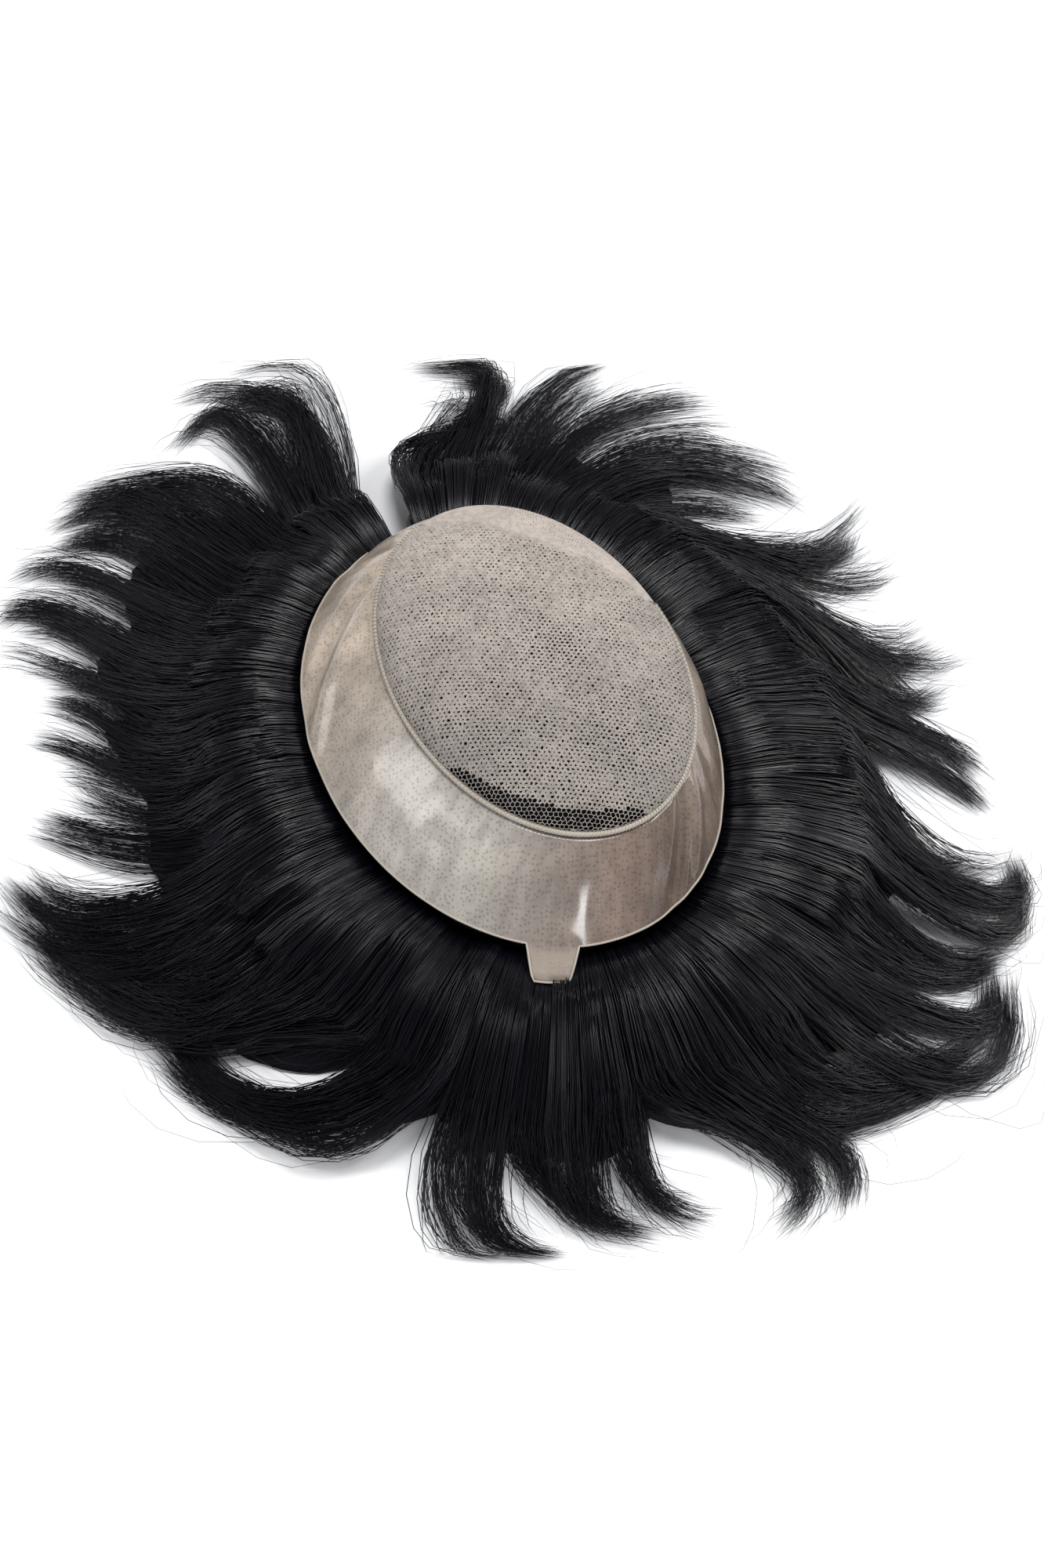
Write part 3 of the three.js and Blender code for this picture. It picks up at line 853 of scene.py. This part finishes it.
welt = bmesh.new()
bent_grid(welt, WELT_COLUMNS, WELT_SIDES, tube(seam_path, WELT), span=(1.0, 0.4))
for k in range(STITCHES):
    corner = (k / STITCHES, 0.5)
    bent_grid(welt, STITCH_STEPS, STITCH_SIDES, tube(stitch(k), STITCH), corner, span=(0.8 / STITCHES, 0.4))
bmesh.ops.recalc_face_normals(welt, faces=welt.faces)
thread = Finish("pale_thread", {"Roughness": 0.65, "Specular IOR Level": 0.3})
place = thread.node("ShaderNodeTexCoord", out=3)
twist = thread.noise(place, 1500.0, 1.0)
tint = thread.between(thread.noise(place, 90.0), (0.43, 0.38, 0.32, 1), (0.51, 0.465, 0.405, 1))
bump = thread.node("ShaderNodeBump", {}, {"Strength": 0.4, "Distance": 0.0002, "Height": twist})
thread.shade({"Base Color": tint, "Normal": bump})
add_piece("sewn_seam", welt, thread, ["seam_welt"])

# %% [markdown]
# ## How the hair flows
#
# Hair leaves the cap all round under the rim, rises over a crest, comes down to the table and runs out in
# locks. A lock is described by where its tip lies, which way the tip points, how far the lock leans as it
# leaves, and how strongly it holds both directions. At the right and the near left the locks lean to one side
# and then hook back.

# %% Ends of the locks
LOCKS = np.array([
    # tip x, tip y, tip points, leans, sweep, share of hairs, parted from the next one, under layer's share
    (-145, 206, 214, -22, 1.7, 1.15, 0, 0.22),
    (-203, 152, 210, -20, 1.5, 1.15, 0, 0.36),
    (-222, 122, 200, -10, 1.2, 1.1, 0, 0.58),
    (-219, 88, 184, 0, 1.1, 1.05, 0, 0.62),
    (-205, 40, 184, 0, 1.1, 1.05, 0, 0.6),
    (-188, -8, 170, 10, 1.2, 0.7, 0, 0.43),
    (-206, -44, 146, 10, 1.5, 1.1, 0, 0.46),
    (-187, -70, 142, 10, 1.5, 1.1, 0, 0.48),
    (-176, -78, 142, -30, 1.3, 1.1, 1, 0.36),
    (-138, -102, 128, -26, 1.4, 1.1, 1, 0.28),
    (8, -198, 330, -10, 1.4, 1.0, 0, 0.34),
    (60, -197, 335, -5, 1.4, 1.0, 1, 0.34),
    (107, -193, 240, 25, 1.5, 1.0, 1, 0.3),
    (173, -122, 25, -5, 1.4, 1.0, 0, 0.26),
    (195, -72, 80, -6, 1.9, 1.1, 0, 0.24),
    (197, -78, 40, -30, 1.4, 1.1, 0, 0.24),
    (203, -34, 85, -44, 1.7, 1.1, 0, 0.22),
    (198, -30, 20, -45, 1.3, 1.0, 0, 0.22),
    (196, -6, 290, -50, 1.2, 1.0, 0, 0.24),
    (172, 32, 325, -48, 1.2, 1.0, 0, 0.3),
    (186, 66, 32, -58, 1.3, 1.0, 0, 0.32),
    (153, 156, 64, -38, 1.5, 1.0, 0, 0.44),
    (124, 158, 328, -14, 1.4, 1.0, 0, 0.48),
    (54, 238, 22, -15, 1.4, 1.0, 1, 0.34),
    (-44, 229, 178, -10, 2.0, 1.1, 1, 0.32),
])
TIPS = LOCKS[:, :2] + SHIFT
HEADINGS = np.degrees(np.unwrap(np.radians(LOCKS[:, 2])))
print(len(LOCKS), "locks, their tips up to", TIPS.max(0).round(), "mm out")

# %% [markdown]
# Roots are spread evenly round the cap, from one side of the parting at the far edge to the other. Even steps
# of angle would crowd them at the ends of the oval, so they are measured along the line where the hair comes
# down to the table.

# %% Roots of the locks
PARTING = {"at": 88, "half": 3.5}
REACH, REACH_LESS = 50, 9                # how far past the rim the hair comes down, and the change round it
WALL_FROM, WALL_TO = PARTING["at"] + PARTING["half"], PARTING["at"] - PARTING["half"] + 360


def full_reach(angle):
    """How far past the rim the hair comes down to the table: less at the far side."""
    return REACH - REACH_LESS * np.sin(np.radians(angle))


def steeper(angle):
    """Draws the crest of the hair in where the hair comes down sooner."""
    return np.minimum(full_reach(angle) / REACH, 1)


def wall_place(angle):
    """Where hair from some angle on the rim comes down to the table."""
    return beyond_rim(angle, full_reach(angle), 0.0)[:, :2]


wall_angles = np.linspace(WALL_FROM, WALL_TO, 1441)
wall_line = wall_place(wall_angles)
wall_way = np.concatenate([[0], np.cumsum(np.linalg.norm(np.diff(wall_line, axis=0), axis=-1))])
ROOM = wall_way[-1] / len(LOCKS)


def rim_angle(share):
    """The angle on the rim of a place that is some share of the way round the hair."""
    return np.interp(share * wall_way[-1], wall_way, wall_angles)


print("each lock is", round(ROOM, 1), "mm wide where it leaves")

# %% [markdown]
# A lock is one cubic curve from its root to its tip. A spline through many points could follow each bend, but
# two directions and a pull are easier to change. Hair between two locks that aren't parted shares the ends of
# both, which closes the fan where the real one is closed.

# %% Curves of the locks
def rotated(way, degrees):
    turn = np.radians(degrees)
    cos, sin = np.cos(turn), np.sin(turn)
    return np.stack([way[..., 0] * cos - way[..., 1] * sin, way[..., 0] * sin + way[..., 1] * cos], -1)


def lock_curve(angle, passes, lean, sweep, tip, points, shares):
    """Flat places along curves that leave the hair's wall and end at a tip, as n curves by m shares.

    A curve starts at its own angle, and soon runs as one that started at the angle it passes.
    """
    root = wall_place(angle)
    pull = (sweep / 3 * np.linalg.norm(tip - root, axis=-1))[:, None]
    first = wall_place(passes) + rotated(outward(passes), lean) * pull
    second = tip - rotated(np.broadcast_to([1.0, 0.0], tip.shape), points) * pull
    s = shares[..., None]
    return ((1 - s) ** 3 * root[:, None] + 3 * s * (1 - s) ** 2 * first[:, None]
            + 3 * s ** 2 * (1 - s) * second[:, None] + s ** 3 * tip[:, None])


def own_end(lock, across):
    """Tip, heading, lean and sweep of hair that leaves a lock at some place across it, from -1 to 1."""
    aside = rotated(np.broadcast_to([1.0, 0.0], (len(lock), 2)), HEADINGS[lock] + 90)
    tip = TIPS[lock] + aside * (across * ROOM * 0.5)[:, None]
    return np.column_stack([tip, HEADINGS[lock], LOCKS[lock, 3], LOCKS[lock, 4]])


def beside(lock, across):
    """The nearest other lock, and whether the hair is parted between the two."""
    other = np.clip(lock + np.where(across < 0, -1, 1), 0, len(LOCKS) - 1)
    return other, (other == lock) | (LOCKS[np.minimum(lock, other), 6] == 1)


def hair_end(lock, across):
    """The same as own_end, but hair between two locks that aren't parted shares the ends of both."""
    other, parted = beside(lock, across)
    share = np.where(parted, 0, 0.45 * np.abs(across) ** 1.5)[:, None]
    return own_end(lock, across) * (1 - share) + own_end(other, across - 2 * np.sign(across)) * share


print("parted after locks", [k + 1 for k in range(len(LOCKS)) if LOCKS[k, 6] == 1])

# %% [markdown]
# ## The under layer
#
# Beneath the single hairs lies a dark layer: it fills the cap close under the net, comes out under the rim,
# and runs a little way out along each lock, thin at its ends. It is one bent sheet, closed underneath round
# the hollow, and keeps light from coming through the hair from below.

# %% Rows of the under layer
COLUMNS_PER_LOCK = 14
IN_PARTING = 0.28                        # how far out the layer reaches in the parting, as a share
rng = np.random.default_rng(23)          # a new seed, so that the hair doesn't change when a net does
under_shares = np.linspace(0, 1, COLUMNS_PER_LOCK * len(LOCKS) + 1)
ragged = np.convolve(rng.uniform(0.7, 1, len(under_shares) + 2), np.full(3, 1 / 3), "valid")
layer_share = np.interp(under_shares * len(LOCKS) - 0.5, np.arange(len(LOCKS)), LOCKS[:, 7])
parting_angles = np.linspace(WALL_TO, WALL_FROM + 360, 13)[1:-1]


def under_row(kind, amount, z):
    """One row of the layer, round the whole cap."""
    angle = np.concatenate([rim_angle(under_shares), parting_angles])
    to_parting = np.minimum(under_shares, 1 - under_shares) * len(LOCKS)
    beside_it = np.interp(to_parting, [0, 0.5], [0.5, 1])
    closed = np.concatenate([beside_it, np.full(len(parting_angles), IN_PARTING)])
    if kind == "crown":
        return crown_point(angle, np.full(len(angle), amount)) - [0, 0, z]
    if kind == "skirt":
        point, faces = skirt_frame(angle, np.full(len(angle), amount))
        return point - faces * z
    if kind == "rim":
        return beyond_rim(angle, amount * closed * steeper(angle), z)
    lock = np.minimum((under_shares * len(LOCKS)).astype(int), len(LOCKS) - 1)
    across = (under_shares * len(LOCKS) - lock) * 2 - 1
    end = hair_end(lock, across)
    _, parted = beside(lock, across)
    reach = amount * layer_share * (1 - np.where(parted, 0.8, 0.3) * across ** 2) * ragged
    start = angle[: len(lock)]
    flow = lock_curve(start, start, end[:, 3], end[:, 4], end[:, :2], end[:, 2], reach[:, None])[:, 0]
    still = beyond_rim(parting_angles, np.full(len(parting_angles), float(REACH)), 0.0)[:, :2]
    edge = beyond_rim(angle, np.zeros(len(angle)), 0.0)[:, :2]
    return raised(edge + (np.concatenate([flow, still]) - edge) * closed[:, None], z)


print("a row has", len(under_row("rim", 0, 0)), "points")

# %% The under layer's shape
UNDER_ROWS = [
    # kind, amount, depth or height
    ("crown", 0.0, 1.3), ("crown", 0.35, 1.3), ("crown", 0.6, 1.5), ("crown", 0.8, 2.2), ("crown", 0.93, 4.0),
    ("skirt", 0.12, 8.0), ("skirt", 0.5, 8.0), ("skirt", 0.9, 8.0),
    ("rim", 0, 20.5), ("rim", 7, 21.5), ("rim", 14, 22.3), ("rim", 21, 22.6), ("rim", 28, 21.8),
    ("rim", 35, 19.8), ("rim", 42, 17),
    ("lock", 0.0, 12.5), ("lock", 0.12, 9.5), ("lock", 0.28, 7), ("lock", 0.46, 5), ("lock", 0.64, 3.4),
    ("lock", 0.82, 2.2), ("lock", 1.0, 1.2),
    ("lock", 0.96, 0.5), ("lock", 0.5, 0.5), ("lock", 0.0, 0.5),
    ("rim", 20, 0.5), ("rim", -18, 0.5),
    ("skirt", 0.9, 19.0), ("skirt", 0.5, 16.0), ("skirt", 0.12, 13.0),
    ("crown", 0.88, 6.0), ("crown", 0.6, 5.5), ("crown", 0.3, 5.0), ("crown", 0.0, 4.5),
]
under_grid = np.array([under_row(*row) for row in UNDER_ROWS])


def under_bend(u, v):
    column = np.rint(u * under_grid.shape[1]).astype(int) % under_grid.shape[1]
    row = np.rint(v * (len(UNDER_ROWS) - 1)).astype(int)
    return under_grid[row, column]


under = bmesh.new()
bent_grid(under, under_grid.shape[1], len(UNDER_ROWS) - 1, under_bend)
bmesh.ops.recalc_face_normals(under, faces=under.faces)
print("under layer:", under_grid.shape[1], "columns,", len(UNDER_ROWS), "rows")

# %% [markdown]
# Black hair is not flat black: each hair is a little different, and light slides along it. The under layer
# gets the same colours as the hairs, with fine grooves that run the way the hair lies.

# %% The hair's finishes
HAIR_DARK, HAIR_LIGHT = (0.0013, 0.0011, 0.0036, 1), (0.0042, 0.0038, 0.0092, 1)


def grooved_hair():
    hair = Finish("under_hair", {"Specular IOR Level": 0.14})
    laid = hair.node("ShaderNodeUVMap", {"uv_map": MAP})
    grooves = hair.noise(hair.node("ShaderNodeMapping", {}, {0: laid, 3: (900, 14, 1)}), 1.0, 3.0)
    bump = hair.node("ShaderNodeBump", {}, {"Strength": 0.9, "Distance": 0.0012, "Height": grooves})
    hair.shade({
        "Base Color": hair.between(hair.band(grooves, 0.3, 0.7), HAIR_DARK, HAIR_LIGHT),
        "Roughness": 0.42 + 0.2 * grooves,
        "Normal": bump,
    })
    return hair


def strand_hair():
    hair = Finish("black_hair", {"Specular IOR Level": 0.1, "Coat Roughness": 0.29})
    tone = hair.node("ShaderNodeAttribute", {"attribute_name": "tone"}, out=2)
    along = hair.node("ShaderNodeAttribute", {"attribute_name": "along"}, out=2)
    colour = hair.between(tone, HAIR_DARK, HAIR_LIGHT)
    colour = hair.between(hair.band(along, 0.7, 1.0) * 0.5, colour, (0.0066, 0.0058, 0.0105, 1))
    dull = hair.node("ShaderNodeAttribute", {"attribute_name": "dull"}, out=2)
    hair.shade({
        "Base Color": colour,
        "Roughness": 0.4 + 0.2 * tone,
        "Coat Weight": 0.95 - 0.2 * tone - 0.62 * dull,
    })
    return hair


black_hair = strand_hair()
add_piece("under_hair", under, grooved_hair(), ["hair_mat"])

# %% [markdown]
# ## Single hairs
#
# A particle system would not come along with the object, so each hair is a real tapered tube with three
# sides. Thousands of alike small things are quickest to make as arrays: every hair is a row, every column a
# place along it. Hairs of one lock gather into a few tufts, and each tuft has its own length, turn and wave.

# %% Tufts
HAIRS_PER_LOCK = 390
TUFTS = 6
owners = np.repeat(np.arange(len(LOCKS)), np.rint(HAIRS_PER_LOCK * LOCKS[:, 5]).astype(int))
count = len(owners)
tufts = np.sort(rng.uniform(-0.95, 0.95, (len(LOCKS), TUFTS)), 1)
tufts[14:20] = np.repeat(tufts[14:20, ::2], 2, axis=1)     # fewer and clearer points at the right,
tufts[13:18] *= 0.5                                        # close together in each hook
tufts[8:10] = tufts[8:10] * 0.6 + [[-0.35], [0.38]]        # and two locks at the near left that stand apart
tuft_out = rng.normal(-7, 11, tufts.shape)
tuft_turn = rng.normal(0, 14, tufts.shape)
tuft_pull = rng.uniform(0.85, 1.2, tufts.shape)
tuft_wave = rng.uniform(0, 2 * math.pi, tufts.shape)
tuft_swing = rng.uniform(1.0, 5.5, tufts.shape)
tuft_lean = rng.normal(0, 7, tufts.shape)
tuft_lift = rng.normal(0, 0.26, tufts.shape)
print(count, "hairs in", tufts.size, "tufts")

# %% [markdown]
# A hair starts at its own place under the rim and ends near its tuft's tip, so a lock is full where it leaves
# and splits into points where it ends. A few stray hairs keep to no tuft, and many are cut shorter.

# %% Ends of the hairs
STRAY = {"share": 0.08, "loose": 3.2, "gather": 0.1, "width": 0.62}
CUT = {"share": 0.4, "least": 0.52}      # hairs that are shorter than their lock
TIGHT = 0.97                             # the most that hairs gather
BUNDLED = 0.85                           # how far they do so already near the cap
FULL_LEFT, FULL_FAR_RIGHT = (150, 90), (45, 45)            # angle on the rim and half width
TIGHT_RIGHT, TIGHT_NEAR_LEFT = (320, 80), (224, 26)
across = rng.uniform(-1, 1, count)
tuft = np.abs((across + rng.normal(0, 0.16, count))[:, None] - tufts[owners]).argmin(1)
stray = rng.random(count) < STRAY["share"]
loose = np.where(stray, STRAY["loose"], 1.0)
angle = rim_angle((owners + 0.5 + across / 2) / len(LOCKS))
gather = np.where(stray, STRAY["gather"], rng.uniform(0.45, 0.95, count))

# At the left and the far right the hair between two locks gathers less, so that it stays full there.
full = np.maximum(hump(angle, *FULL_LEFT), hump(angle, *FULL_FAR_RIGHT))
gather *= 1 - np.where(beside(owners, across)[1], 0, 0.8 * np.abs(across) ** 2) * full

# At the right and the near left the tufts are tight, so that the table shows between them.
pinch = np.maximum(hump(angle, *TIGHT_RIGHT), hump(angle, *TIGHT_NEAR_LEFT))
gather += np.where(stray, 0, 0.6 * (TIGHT - gather)) * pinch
end = hair_end(owners, across + gather * (tufts[owners, tuft] - across))
aim = rotated(np.broadcast_to([1.0, 0.0], (count, 2)), end[:, 2])
aside = rotated(aim, 90)
tip = end[:, :2] + aim * (tuft_out[owners, tuft] + rng.normal(0, 4, count) * loose)[:, None]
tip = tip + aside * (rng.normal(0, 2.6, count) * loose)[:, None]
heading = end[:, 2] + tuft_turn[owners, tuft] + rng.normal(0, 5, count) * loose
cut = np.where(rng.random(count) < CUT["share"], rng.uniform(CUT["least"], 1.0, count), 1.0)[:, None]
lean = end[:, 3] + tuft_lean[owners, tuft] + rng.normal(0, 3, count)
drawn = across + gather * BUNDLED * pinch * (tufts[owners, tuft] - across)
passes = rim_angle((owners + 0.5 + drawn / 2) / len(LOCKS))
sweep = end[:, 4] * tuft_pull[owners, tuft]
print(stray.sum(), "stray hairs,", (cut < 1).sum(), "cut shorter")

# %% [markdown]
# Every hair rises under the rim, goes over the crest and falls to the table, and only then follows its lock.
# It lies lower under the tab, so that it doesn't come through. A slow and a quick wave swing it to the sides.

# %% Paths of the hairs
FLOW_SHARES = np.array([0.0, 0.14, 0.3, 0.45, 0.6, 0.73, 0.84, 0.92, 1.0])
RISE = [
    # reach past the rim, height of the lowest and of the highest hairs
    (-7.0, 19.5, 21.5), (2.0, 21.5, 23.6), (10.0, 22.6, 25.6), (18.0, 23.2, 27.6), (27.0, 22.6, 27.8),
    (38.0, 19.0, 25.0),
]
FALL_FROM, TIP_LIFT = 19, 2.5            # how high the top hairs lie where they start to fall, and at the tip
FAR_OUT = np.array([216.0, 222.0])       # hair that would lie farther out is drawn in,
DRAWN_IN = 0.65                          # by this share of what is past it
flat = lock_curve(angle, passes, lean, sweep, tip, heading, FLOW_SHARES * cut)
high = np.clip(rng.random(count) + tuft_lift[owners, tuft], 0, 1.15)
under_tab = 1 - 0.95 * hump(angle, TAB["at"], 17)
falling = FALL_FROM * (1 - FLOW_SHARES) ** 1.3 * (0.35 + 0.65 * high[:, None])
lying = 0.5 + falling + TIP_LIFT * high[:, None] * FLOW_SHARES ** 3
crest = rng.normal(0, 0.18, tufts.shape)[owners, tuft] + rng.normal(0, 0.03, count)
rising = []
for reach, low, top in RISE:
    out = reach * steeper(angle) * (1 + crest * (reach > 8))
    rising.append(beyond_rim(angle, out, low + (top - low) * high * under_tab ** (reach < 20)))
paths = np.concatenate([np.stack(rising, 1), raised(flat, lying)], 1)
along = np.linspace(0, 1, paths.shape[1])
swing = tuft_swing[owners, tuft] + rng.normal(0, 0.5, count)
wave = np.sin(tuft_wave[owners, tuft][:, None] + 6.5 * along) * along ** 1.2 * swing[:, None]
wave += np.sin(2 * tuft_wave[owners, tuft][:, None] + 15 * along) * along ** 0.7 * 0.35 * swing[:, None]
paths[..., :2] += aside[:, None] * wave[..., None]
too_far = np.maximum(np.abs(paths[..., :2]) - FAR_OUT, 0)
paths[..., :2] -= np.sign(paths[..., :2]) * too_far * DRAWN_IN
widths = np.where(stray, STRAY["width"], 1.0)
print("the highest place on a hair is", paths[..., 2].max().round(1), "mm up")

# %% [markdown]
# A hair needs more points where it bends than where it runs straight. Each path is first drawn finely with a
# smooth spline, and points are then picked so that every step holds the same sum of length and turning. Equal
# steps of length would need more points for the same curls.

# %% Even steps along a hair
RINGS = 11
FINE = 6
TURN_COST = 26                           # mm of length that a turn of one radian counts as
LOWEST = 0.35                            # no hair's middle line lies closer to the table


def fine_line(points):
    """A Catmull-Rom spline through points, sampled FINE times in each span."""
    before = 2 * points[:, :1] - points[:, 1:2]
    after = 2 * points[:, -1:] - points[:, -2:-1]
    ends = np.concatenate([before, points, after], 1)
    a, b, c, d = ends[:, :-3], ends[:, 1:-2], ends[:, 2:-1], ends[:, 3:]
    spans = []
    for t in np.arange(FINE) / FINE:
        spans.append(0.5 * (2 * b + (c - a) * t + (2 * a - 5 * b + 4 * c - d) * t ** 2
                            + (3 * b - a - 3 * c + d) * t ** 3))
    line = np.stack(spans, 2).reshape(len(points), -1, 3)
    return np.concatenate([line, points[:, -1:]], 1)


def even_steps(line, count):
    """Picks count points along each line, closer together where it turns."""
    step = np.diff(line, axis=1)
    length = np.linalg.norm(step, axis=-1)
    way = step / np.maximum(length, 1e-6)[..., None]
    bend = np.arccos(np.clip((way[:, 1:] * way[:, :-1]).sum(-1), -1, 1))
    bend = np.concatenate([bend[:, :1], bend], 1)
    effort = np.concatenate([np.zeros((len(line), 1)), np.cumsum(length + TURN_COST * bend, 1)], 1)
    placed = np.empty((len(line), count, 3))
    for i, row in enumerate(effort):
        wanted = np.linspace(0, row[-1], count)
        for axis in range(3):
            placed[i, :, axis] = np.interp(wanted, row, line[i, :, axis])
    return placed


lines = even_steps(fine_line(paths), RINGS + 1)
lines[..., 2] = np.maximum(lines[..., 2], LOWEST)
lengths = np.linalg.norm(np.diff(lines, axis=1), axis=-1).sum(1)
print("hairs are", round(lengths.mean()), "mm long on average")

# %% [markdown]
# Now the paths become tubes. An operator for each hair would be slow, so all corners of one side of the fan
# are worked out at once, and the faces of one hair are counted out and used again for every hair. The map
# gives each hair a cell of its own.

# %% Tubes of hair
HAIR_RADIUS = 0.235


def hair_corners(lines, widths):
    """Corners of tapered tubes with three sides, in metres; each tube ends in a point."""
    count, places = lines.shape[:2]
    rings = places - 1
    ahead = np.gradient(lines, axis=1)
    ahead /= np.maximum(np.linalg.norm(ahead, axis=-1, keepdims=True), 1e-6)
    side = np.cross(ahead, [0, 0, 1.0])
    side /= np.maximum(np.linalg.norm(side, axis=-1, keepdims=True), 1e-6)
    up = np.cross(side, ahead)
    radius = HAIR_RADIUS * widths[:, None] * (1 - 0.6 * np.linspace(0, 1, places)[:rings] ** 2.5)
    corner = []
    for turn in np.radians([90, 210, 330]):
        out = math.cos(turn) * side[:, :rings] + math.sin(turn) * up[:, :rings]
        corner.append(lines[:, :rings] + out * radius[..., None])
    tube = np.stack(corner, 2).reshape(count, rings * 3, 3)
    return np.concatenate([tube, lines[:, -1:]], 1).reshape(-1, 3) * MM


def hair_faces(rings):
    """The faces of one hair as numbers of its corners, and their corners in its own cell of the map."""
    faces, cells = [], []
    for i in range(rings - 1):
        for j in range(3):
            after = (j + 1) % 3
            faces.append((3 * i + j, 3 * i + after, 3 * i + 3 + after, 3 * i + 3 + j))
            left, right, low, high = j / 3, (j + 1) / 3, i / rings, (i + 1) / rings
            cells.append([(left, low), (right, low), (right, high), (left, high)])
    last, low = 3 * rings - 3, 1 - 1 / rings
    for j in range(3):
        faces.append((last + j, last + (j + 1) % 3, 3 * rings))
        cells.append([(j / 3, low), ((j + 1) / 3, low), ((j + 0.5) / 3, 1.0)])
    faces.append((2, 1, 0))
    cells.append([(0.0, 0.0), (0.1, 0.02), (0.2, 0.0)])
    return faces, cells


print("one hair has", len(hair_faces(RINGS)[0]), "faces")

# %% [markdown]
# Each place along a hair carries three numbers for the finish: how far along it is, the hair's own tone, and
# how dull it is. They are attributes of the mesh, which a material can read at every point.

# %% A mesh of many hairs
def hair_mesh(name, lines, widths, marks):
    """One joined mesh of hairs, with marks for each place along each of them."""
    count, places = lines.shape[:2]
    rings = places - 1
    verts = hair_corners(lines, widths)
    faces, cells = hair_faces(rings)
    starts = (np.arange(count) * (3 * rings + 1))[:, None]
    loops = starts + np.concatenate(faces)
    sizes = np.tile([len(face) for face in faces], count)
    mesh = bpy.data.meshes.new(name)
    mesh.vertices.add(len(verts))
    mesh.vertices.foreach_set("co", verts.ravel())
    mesh.loops.add(loops.size)
    mesh.loops.foreach_set("vertex_index", loops.ravel().astype(np.int32))
    mesh.polygons.add(len(sizes))
    mesh.polygons.foreach_set("loop_start", np.concatenate([[0], np.cumsum(sizes)[:-1]]).astype(np.int32))
    mesh.polygons.foreach_set("use_smooth", np.ones(len(sizes), bool))
    mesh.update(calc_edges=True)
    ring_of = np.append(np.repeat(np.arange(rings), 3), rings)
    for mark, each in marks.items():
        values = np.broadcast_to(each, (count, places))[:, ring_of].astype(np.float32)
        mesh.attributes.new(mark, "FLOAT", "POINT").data.foreach_set("value", values.ravel())
    across = math.ceil(math.sqrt(count))
    corner = np.stack([np.arange(count) % across, np.arange(count) // across], -1)[:, None] / across
    uvs = corner + (0.06 + 0.88 * np.concatenate(cells))[None] / across
    mesh.uv_layers.new(name=MAP).data.foreach_set("uv", uvs.ravel().astype(np.float32))
    mesh.validate()
    return mesh


print("hairs are", 2 * HAIR_RADIUS, "mm thick")

# %% [markdown]
# The fan is made as four pieces, because one would hold too many triangles. Hair at the near left and the
# tips at the left shine less, as in the picture.

# %% Four sides of the fan
DULL_NEAR_LEFT, DULL_LEFT_TIPS = (232, 75), (180, 48)      # angle on the rim and half width
along = np.linspace(0, 1, RINGS + 1)
dull = np.maximum(
    hump(angle, *DULL_NEAR_LEFT)[:, None],
    hump(angle, *DULL_LEFT_TIPS)[:, None] * np.clip((along - 0.45) / 0.25, 0, 1),
)
SECTORS = [("hair_left", 0, 7), ("hair_near", 7, 13), ("hair_right", 13, 19), ("hair_far", 19, 25)]
for name, first, last in SECTORS:
    mine = (owners >= first) & (owners < last)
    marks = {"along": along, "tone": rng.random((mine.sum(), 1)) ** 1.5, "dull": dull[mine]}
    mesh = hair_mesh(name, lines[mine], widths[mine], marks)
    add_mesh(name, mesh, black_hair, [f"hair_lock_{k + 1:02d}" for k in range(first, last)])
